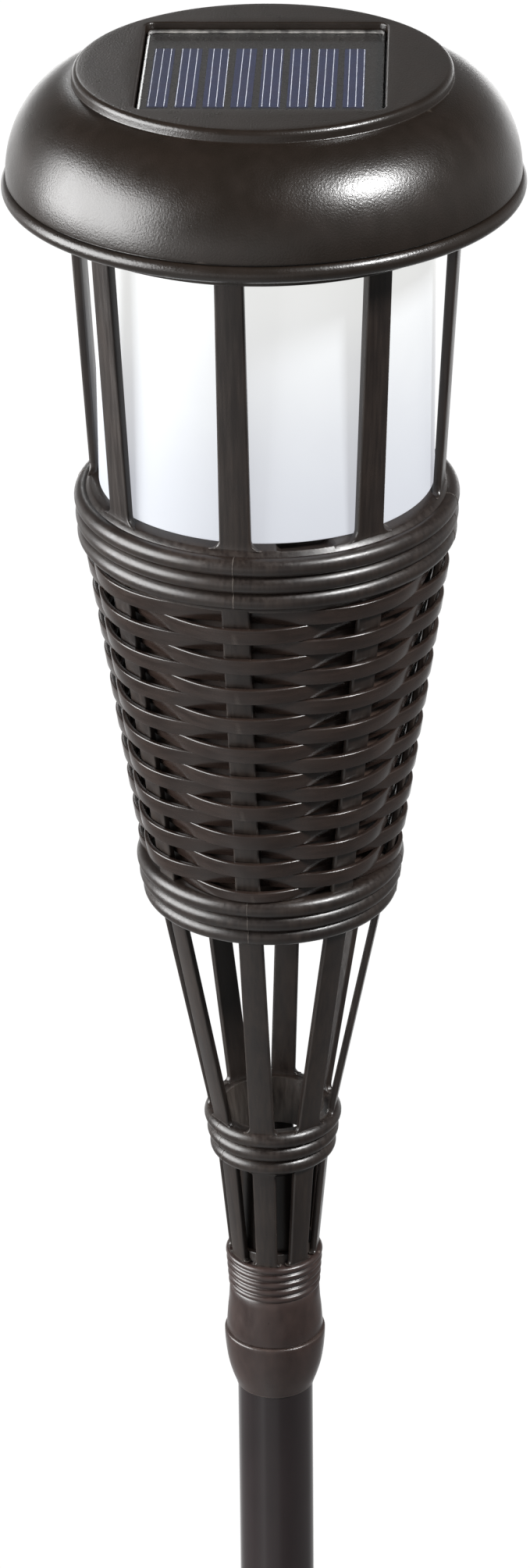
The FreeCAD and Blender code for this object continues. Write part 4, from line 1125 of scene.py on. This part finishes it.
    def build_lower_band(self) -> None:
        """Build the lower band at the foot of the weave."""
        head = self.rope - self.lower_ropes[0][0]
        ropes = self.rope_profile(self.lower_ropes, self.rope, 88.0, -100.0)
        profile = [(27.3, head), (31.0, head)] + ropes + [(29.4, -190.85), (25.4, -190.85)]
        draft = Draft()
        draft.lathe([(r, rim_height() + z) for r, z in profile], 320)
        self.partings(draft, ropes, (0.0, 90.0, -90.0, 180.0))
        self.put(draft.make("lower_band_rings"), "cage_brown", [CAGE_PP], ["lower_band"])

    def build_neck(self) -> None:
        """Build the neck's three rings and the hollow core between the slats."""
        ropes = self.rope_profile(self.neck_ropes, self.neck_rope, 100.0, -100.0)
        profile = [(13.2, -255.14), (15.2, -255.0)] + ropes + [(13.8, -267.5), (11.0, -267.46)]
        draft = Draft()
        draft.lathe([(r, rim_height() + z) for r, z in profile], 200)
        self.partings(draft, ropes, (-45.0, 135.0))
        self.put(draft.make("neck_band_rings"), "cage_brown", [CAGE_PP], ["neck_band"])
        low, high = node_span("neck_core")
        core = Draft()
        core.lathe(rounded([(7.4, low.z, 0.2), (8.9, low.z, 0.2), (8.9, high.z, 0.5),
                            (7.4, high.z, 0.3)]), 96)
        self.put(core.make("neck_core_tube"), "cage_brown", [CAGE_PP], ["neck_core"])

    def build(self) -> None:
        """Build the frame and its three bands."""
        self.build_frame()
        self.build_upper_band()
        self.build_lower_band()
        self.build_neck()


@dataclass
class Weave(Assembly):
    """Twenty rows of flat strip that go over and under the eight slats; sizes in mm."""

    body: Body = Body.HEAD
    turn: float = -8.3
    waves: int = 4
    rows: int = 20
    pitch: float = 4.3
    head: float = 93.3
    top_radius: float = 45.7
    foot_radius: float = 33.4
    foot: float = 178.05
    thick: float = 1.2
    swing: float = 1.95
    lining_gap: float = 0.3
    lining_wall: float = 0.7
    samples: int = 256
    gap: float = 0.03    # half of the gap between two rows
    crown: float = 0.10  # how far a strip's middle stands out

    def peak(self, drop: float) -> float:
        """Work out how far out the strips reach.

        Args:
            drop: Distance below the rim.

        Returns:
            Outermost radius of a strip there.
        """
        share = (drop - self.head) / (self.foot - self.head)
        return self.top_radius + (self.foot_radius - self.top_radius) * share

    def build_rows(self, rows: RowSet, rim: float) -> None:
        """Build one set of rows.

        Args:
            rows: Which set.
            rim: Height of the cap's rim, in mm.
        """
        draft = Draft()
        first = 1 if rows is RowSet.OVER else 0
        for row in range(first, self.rows, 2):
            top = self.head + row * self.pitch
            foot = min(top + self.pitch, self.foot)
            phase = 0.0 if row % 2 else math.pi
            upper, lower = top + self.gap, foot - self.gap
            section = rounded([(0.0, upper, 0.42), (0.0, lower, 0.30),
                               (-self.thick, lower, 0.2), (-self.thick, upper, 0.2)], steps=4)
            loops: list[Loop] = []
            for i in range(self.samples):
                angle = TURN * i / self.samples + (math.pi - phase) / self.waves
                wave = self.swing * (math.cos(self.waves * angle + phase) - 1.0)
                spin = angle + math.radians(self.turn - 90.0)
                ring = []
                for depth, drop in section:
                    crown = self.crown * math.sin(math.pi * (drop - top) / (foot - top))
                    lift = crown if depth > -self.thick / 2.0 else 0.0
                    ring.append(polar(self.peak(drop) - self.crown + wave + depth + lift, spin,
                                      rim - drop))
                loops.append(ring)
            draft.skin(loops, Ends.JOINED)
        name = "strips_over" if rows is RowSet.OVER else "strips_under"
        self.put(draft.make(name, 50.0), "weave_brown", [WEAVE_PP], [rows.value])

    def build(self) -> None:
        """Build both sets of rows and the sleeve behind them."""
        rim = rim_height()
        for rows in RowSet:
            self.build_rows(rows, rim)
        self.build_lining(rim)

    def build_lining(self, rim: float) -> None:
        """Build the thin sleeve behind the strips.

        Args:
            rim: Height of the cap's rim, in mm.
        """
        behind = 2.0 * self.swing + self.thick + self.lining_gap
        top, foot = self.top_radius - behind, self.foot_radius - behind
        outside = [(foot + (top - foot) * k / 16.0,
                    rim - self.foot + (self.foot - self.head) * k / 16.0) for k in range(17)]
        inside = [(r - self.lining_wall, z) for r, z in reversed(outside)]
        draft = Draft()
        draft.lathe(outside + inside, 128)
        # The sleeve's paler finish is painted light for the shaded gaps between the strips.
        self.put(draft.make("weave_sleeve"), "weave_brown", [SLEEVE_PP_PAINTED_LIGHT], ["weave_lining"])


@dataclass
class Lens(Assembly):
    """Frosted cup that stands on the shelf; sizes in mm."""

    body: Body = Body.HEAD
    radius: float = 41.0
    wall: float = 1.8

    def build(self) -> None:
        """Build the cup."""
        low, high = node_span("lens")
        inner = self.radius - self.wall
        profile = rounded([(0.01, low.z), (self.radius, low.z, 0.45), (self.radius, high.z, 0.5),
                           (inner, high.z, 0.5), (inner, low.z + self.wall, 1.2),
                           (0.01, low.z + self.wall)], False, 8)
        draft = Draft()
        draft.lathe(profile, 256, Ends.CAPPED)
        self.put(draft.make("lens_cup"), "lens_frost", [LENS_FROST], ["lens"])


@dataclass
class Collar(Assembly):
    """Ribbed collar and the cup under it; sizes in mm."""

    body: Body = Body.HEAD
    bore: float = 10.06
    lip: float = 12.8
    waist: float = 11.8
    foot: float = 12.75
    ribs: int = 5
    rib_pitch: float = 2.3
    rib_round: float = 0.9
    # Radius of the cup's outside, and how far below its top.
    cup: tuple[Point, ...] = (
        (12.85, 0.0), (13.15, 0.12), (13.3, 0.5), (13.28, 1.8), (13.2, 3.5), (12.95, 6.2),
        (12.65, 8.5), (12.3, 10.4), (11.9, 12.0), (11.35, 13.9), (10.81, 15.4), (10.5, 16.3),
        (10.36, 16.8))

    def build(self) -> None:
        """Build the collar and the cup."""
        low, high = node_span("collar")
        ribs: list[Point] = []
        for i in range(self.ribs):
            z = high.z - self.rib_round - i * self.rib_pitch
            share = (high.z - z) / (self.rib_pitch * self.ribs)
            radius = self.lip + (self.waist + 0.2 - self.lip) * share - self.rib_round
            ribs += arc_points((radius, z), self.rib_round, 88.0 if i == 0 else 72.0, -72.0, 12)
            ribs.append((radius + 0.02, z - self.rib_pitch / 2.0))
        end = high.z - self.rib_pitch * self.ribs
        swell = [(self.waist, end), (self.waist + 0.12, end - 2.0), (12.05, end - 4.5),
                 (12.3, (end + low.z) / 2.0), (12.55, low.z + 3.5), (self.foot, low.z + 0.5)]
        profile = [(10.3, high.z), (11.4, high.z)] + ribs[:-1] + swell
        profile += [(self.foot - 0.2, low.z + 0.12), (self.foot - 0.45, low.z), (self.bore, low.z),
                    (self.bore, high.z - 1.6), (10.3, high.z - 1.6)]
        draft = Draft()
        draft.lathe(profile, 192)
        self.put(draft.make("collar_ribbed", 50.0), "collar_brown", [COLLAR_PP], ["collar"])
        seam = node_span("collar_cup")[1].z
        cup = [(self.bore, seam)] + [(r, seam - drop) for r, drop in self.cup]
        cup.append((self.bore, seam - self.cup[-1][1]))
        draft = Draft()
        draft.lathe(cup, 192)
        self.put(draft.make("collar_cup_shell", 50.0), "collar_brown", [COLLAR_PP],
                 ["collar_cup"])


@dataclass
class Pole:
    """Two tubes, the joiner between them and the ground stake; sizes in mm."""

    radius: float = 10.0
    bore: float = 9.2
    plug: float = 9.14
    plug_bore: float = 7.54
    shoulder: float = 9.8
    blade_length: float = 150.0
    blade_point: float = 60.0  # length of the taper
    blade_reach: float = 9.6

    def tube(self, owner: Assembly, name: str, node: str) -> None:
        """Build one tube with deburred ends.

        Args:
            owner: Assembly that gets the tube.
            name: Name of the piece.
            node: Name of its CAD node.
        """
        low, high = node_span(node)
        steps = [(self.bore, low.z, 0.15), (self.radius, low.z, 0.25)]
        steps += [(self.radius, low.z + (high.z - low.z) * k / 12.0) for k in range(1, 12)]
        steps += [(self.radius, high.z, 0.25), (self.bore, high.z, 0.15)]
        draft = Draft()
        draft.lathe(rounded(steps, steps=3), 128)
        owner.put(draft.make(name), "pole_paint", [POLE_COAT], [node])

    def build(self) -> list[Assembly]:
        """Build all four pieces.

        Returns:
            One assembly for each body.
        """
        upper, lower = Assembly(Body.UPPER_POLE), Assembly(Body.LOWER_POLE)
        self.tube(upper, "upper_tube", "pole_upper")
        self.tube(lower, "lower_tube", "pole_lower")
        low, high = node_span("pole_joiner")
        middle = (low.z + high.z) / 2.0
        draft = Draft()
        draft.lathe(rounded([
            (self.plug_bore, low.z, 0.2), (self.plug, low.z, 0.7), (self.plug, middle - 2.0),
            (self.shoulder, middle - 2.0, 0.3), (self.shoulder, middle + 2.0, 0.3),
            (self.plug, middle + 2.0), (self.plug, high.z, 0.7),
            (self.plug_bore, high.z, 0.2)]), 96)
        lower.put(draft.make("joiner_plug"), "collar_brown", [COLLAR_PP], ["pole_joiner"])
        stake = Assembly(Body.STAKE)
        self.build_stake(stake)
        return [upper, lower, stake]

    def build_stake(self, stake: Assembly) -> None:
        """Build the stake: plug, shoulder and two crossed blades that taper to a point.

        Args:
            stake: Assembly that gets the stake.
        """
        top = node_span("ground_stake")[1].z
        length, point, reach = self.blade_length, self.blade_point, self.blade_reach
        draft = Draft()
        draft.lathe(rounded([
            (0.5, length - 0.5), (self.shoulder - 0.8, length - 0.5), (self.shoulder, length, 0.3),
            (self.shoulder, length + 4.0, 0.3), (self.plug, length + 4.0), (self.plug, top, 0.7),
            (0.5, top)], False), 96, Ends.CAPPED)
        for turn in (45.0, 135.0):
            spin = Matrix.Rotation(math.radians(turn), 4, "Z")
            loops = []
            for k in range(25):
                z = length * k / 24.0
                wide = 0.6 + (reach - 0.6) * min(1.0, z / point)
                half = 1.2 * min(1.0, 0.35 + z / 12.0)
                section = rounded([(-wide, -half, 0.45), (wide, -half, 0.45),
                                   (wide, half, 0.45), (-wide, half, 0.45)], steps=3)
                loops.append([spin @ (Vector((x, y, z)) * MM) for x, y in section])
            draft.skin(loops)
        stake.put(draft.make("crossed_stake"), "stake_plastic", [STAKE_NYLON], ["ground_stake"])


@dataclass
class Fittings:
    """Inner parts that keep their CAD shape: they get real edges and their own finish."""

    edge: float = 0.18
    dressed: tuple[tuple[str, Finish], ...] = (
        ("lamp_tray", TRAY_ABS), ("battery_door", TRAY_ABS), ("tray_screws", SCREW_STEEL),
        ("battery_cell", BATTERY_WRAP), ("battery_contacts", SPRING_STEEL),
        ("battery_spring", SPRING_STEEL), ("circuit_board", SOLDER_MASK),
        ("control_chip", CHIP_EPOXY), ("inductor", CHIP_EPOXY), ("leds", LED_EPOXY),
        ("lead_red", WIRE_RED), ("lead_black", WIRE_BLACK), ("switch_body", SWITCH_NYLON),
        ("switch_slider", SWITCH_NYLON))
    bevelled: tuple[str, ...] = ("lamp_tray", "battery_door", "circuit_board", "control_chip",
                                 "switch_body", "switch_slider", "battery_cell")

    def dress(self) -> None:
        """Give each node its finish, and a small bevel where it has sharp edges."""
        for name, finish in self.dressed:
            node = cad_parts[name]
            if not node.material_slots:
                node.data.materials.append(None)
            node.material_slots[0].link = "OBJECT"
            node.material_slots[0].material = PAINTS.get(finish)
            if name in self.bevelled:
                weld = node.modifiers.new("weld", "WELD")
                weld.merge_threshold = 1e-6
                bevel = node.modifiers.new("edges", "BEVEL")
                bevel.width = self.edge * MM
                bevel.segments = 2
                bevel.harden_normals = True
                bevel.limit_method = "ANGLE"
                bevel.angle_limit = math.radians(35.0)
            LOG.info("%s keeps its shape", name)


# --------------------------------------------------------------------------
# Studio
# --------------------------------------------------------------------------
@dataclass(frozen=True)
class SoftLight:
    """A rectangular studio light, placed by direction from the torch's head."""

    name: str
    azimuth: float      # degrees from -Y, positive towards +X
    elevation: float    # degrees
    distance: float     # metres
    size: Point         # metres
    radiance: float

    def place(self, target: Vector) -> None:
        """Create the light.

        Args:
            target: Point that it is aimed at.
        """
        data = bpy.data.lights.new(self.name, "AREA")
        data.shape = "RECTANGLE"
        data.size, data.size_y = self.size
        data.energy = self.radiance * math.pi * self.size[0] * self.size[1]
        obj = bpy.data.objects.new(self.name, data)
        az, el = math.radians(self.azimuth), math.radians(self.elevation)
        away = Vector((math.sin(az) * math.cos(el), -math.cos(az) * math.cos(el), math.sin(el)))
        obj.location = target + away * self.distance
        obj.rotation_euler = away.to_track_quat("Z", "Y").to_euler()
        bpy.context.scene.collection.objects.link(obj)


@dataclass
class Studio:
    """Floor, world, lights and camera round the torch; sizes in metres."""

    focal: float = 121.65
    azimuth: float = 2.0
    distance: float = 1.18392
    over_rim: float = 0.45099
    pitch: float = 27.369
    roll: float = -0.552
    shift: float = -0.00306
    # Brightness of the floor by direction, in degrees from -Y towards +X.
    sweep: tuple[Point, ...] = (
        (-90.0, 0.28), (-72.0, 0.3), (-54.0, 0.5), (-38.0, 0.82), (-26.0, 0.5), (-10.0, 0.44),
        (6.0, 0.36), (18.0, 0.13), (40.0, 0.07), (80.0, 0.12), (120.0, 0.14), (150.0, 0.45),
        (168.0, 1.5), (185.0, 1.9), (205.0, 0.8), (235.0, 0.32), (255.0, 0.24))
    ring_radii: tuple[float, ...] = (0.2, 0.8, 2.0, 5.0, 11.0, 24.0)
    # The floor brightens from the first strength to the second between two distances.
    reach: Point = (2.0, 6.0)
    strength: Point = (1.4, 4.0)
    lights: tuple[SoftLight, ...] = (
        SoftLight("softbox_left", -78.0, 8.0, 1.30, (1.40, 1.00), 14.0),
        SoftLight("key_right", 60.0, 42.0, 1.60, (0.42, 0.30), 140.0),
        SoftLight("card_back_left", -167.0, 20.0, 1.80, (0.26, 0.34), 5.0))

    def build(self) -> None:
        """Build the whole studio."""
        self.build_floor()
        self.build_world()
        target = Vector((0.0, 0.0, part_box("cap_shell")[0].z))
        for light in self.lights:
            light.place(target)
        self.build_camera()
        scene = bpy.context.scene
        scene.view_settings.view_transform = "Standard"
        scene.view_settings.look = "None"
        scene.view_settings.exposure = 0.0
        scene.view_settings.gamma = 1.0

    def build_floor(self) -> None:
        """Build the pale floor: the sweep that the torch mirrors is brightest behind it."""
        draft = Draft()
        count = 64
        draft.skin([[polar(r / MM, TURN * i / count, 0.0) for i in range(count)]
                    for r in self.ring_radii])
        draft.faces.pop()
        draft.paints.pop()
        floor = draft.make("studio_floor")
        material = bpy.data.materials.new("studio_paper_white")
        material.use_nodes = True
        tree = material.node_tree
        tree.nodes.clear()
        place = add_node(tree, "ShaderNodeTexCoord").outputs["Object"]
        tooth = add_node(tree, "ShaderNodeTexNoise", {
            "Vector": place, "Scale": per_mm(3.0), "Detail": 2.0})
        bump = add_node(tree, "ShaderNodeBump", {
            "Height": tooth.outputs[0], "Distance": 0.05 * MM, "Strength": 0.5})
        paper = add_node(tree, "ShaderNodeBsdfPrincipled", {
            "Base Color": linear("#5a5a5a"), "Roughness": 0.8, "Normal": bump.outputs[0]})
        # The ring texture counts from -X round through +Y; 0.5 is +X and 0.25 is -Y.
        turn = add_node(tree, "ShaderNodeTexGradient", {"Vector": place}, gradient_type="RADIAL")
        ramp = add_node(tree, "ShaderNodeValToRGB", {0: turn.outputs["Fac"]})
        for n, (azimuth, level) in enumerate(self.sweep):
            spot = ((azimuth + 90.0) % 360.0) / 360.0
            stops = ramp.color_ramp.elements
            stop = stops[n] if n < len(stops) else stops.new(spot)
            stop.position = spot
            stop.color = (level / 2.0, level / 2.0, level / 2.0, 1.0)
        away = add_node(tree, "ShaderNodeVectorMath", {0: place}, operation="LENGTH")
        level = add_node(tree, "ShaderNodeMapRange", {
            "Value": away.outputs["Value"],
            "From Min": self.reach[0], "From Max": self.reach[1],
            "To Min": self.strength[0], "To Max": self.strength[1]})
        lit = add_node(tree, "ShaderNodeEmission", {
            "Color": ramp.outputs[0], "Strength": level.outputs[0]})
        near = add_node(tree, "ShaderNodeAddShader", {0: paper.outputs[0], 1: lit.outputs[0]})
        white = add_node(tree, "ShaderNodeEmission", {"Color": linear("#ffffff"),
                                                      "Strength": 1.03})
        seen = add_node(tree, "ShaderNodeLightPath").outputs["Is Camera Ray"]
        both = add_node(tree, "ShaderNodeMixShader", {
            0: seen, 1: near.outputs[0], 2: white.outputs[0]})
        add_node(tree, "ShaderNodeOutputMaterial", {"Surface": both.outputs[0]})
        floor.data.materials.append(material)

    def build_world(self) -> None:
        """Build a plain world: pale at the horizon, dim overhead, white behind the torch."""
        world = bpy.data.worlds.new("studio")
        world.use_nodes = True
        tree = world.node_tree
        tree.nodes.clear()
        height = add_node(tree, "ShaderNodeSeparateXYZ", {
            0: add_node(tree, "ShaderNodeTexCoord").outputs["Generated"]}).outputs[2]
        fade = add_node(tree, "ShaderNodeMapRange", {
            "Value": height, "From Min": 0.0, "From Max": 0.55, "To Min": 0.42, "To Max": 0.05},
            interpolation_type="SMOOTHSTEP")
        seen = add_node(tree, "ShaderNodeLightPath").outputs["Is Camera Ray"]
        level = add_node(tree, "ShaderNodeMath", {0: fade.outputs[0], 1: seen}, operation="MAXIMUM")
        light = add_node(tree, "ShaderNodeBackground", {
            "Color": linear("#ffffff"), "Strength": level.outputs[0]})
        add_node(tree, "ShaderNodeOutputWorld", {"Surface": light.outputs[0]})
        bpy.context.scene.world = world

    def build_camera(self) -> None:
        """Build the camera."""
        data = bpy.data.cameras.new("studio_camera")
        data.lens = self.focal
        data.sensor_width = 36.0
        data.sensor_fit = "AUTO"
        data.shift_x = self.shift
        data.clip_start, data.clip_end = 0.01, 100.0
        camera = bpy.data.objects.new("studio_camera", data)
        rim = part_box("cap_shell")[1].z - CAP_RISE * MM
        az = math.radians(self.azimuth)
        camera.location = (self.distance * math.sin(az), -self.distance * math.cos(az),
                           rim + self.over_rim)
        turn = Matrix.Rotation(az, 4, "Z")
        turn = turn @ Matrix.Rotation(math.radians(90.0 - self.pitch), 4, "X")
        turn = turn @ Matrix.Rotation(math.radians(self.roll), 4, "Z")
        camera.rotation_euler = turn.to_euler()
        bpy.context.scene.collection.objects.link(camera)
        bpy.context.scene.camera = camera


def main() -> None:
    """Build the torch piece by piece, then the studio."""
    logging.basicConfig(level=logging.INFO, format="%(name)s %(message)s")
    for part in (CapShell(), SolarPanel(), Lens(), Cage(), Weave(), Collar(), Pole()):
        part.build()
    Fittings().dress()
    Studio().build()


if __name__ == "__main__":
    main()
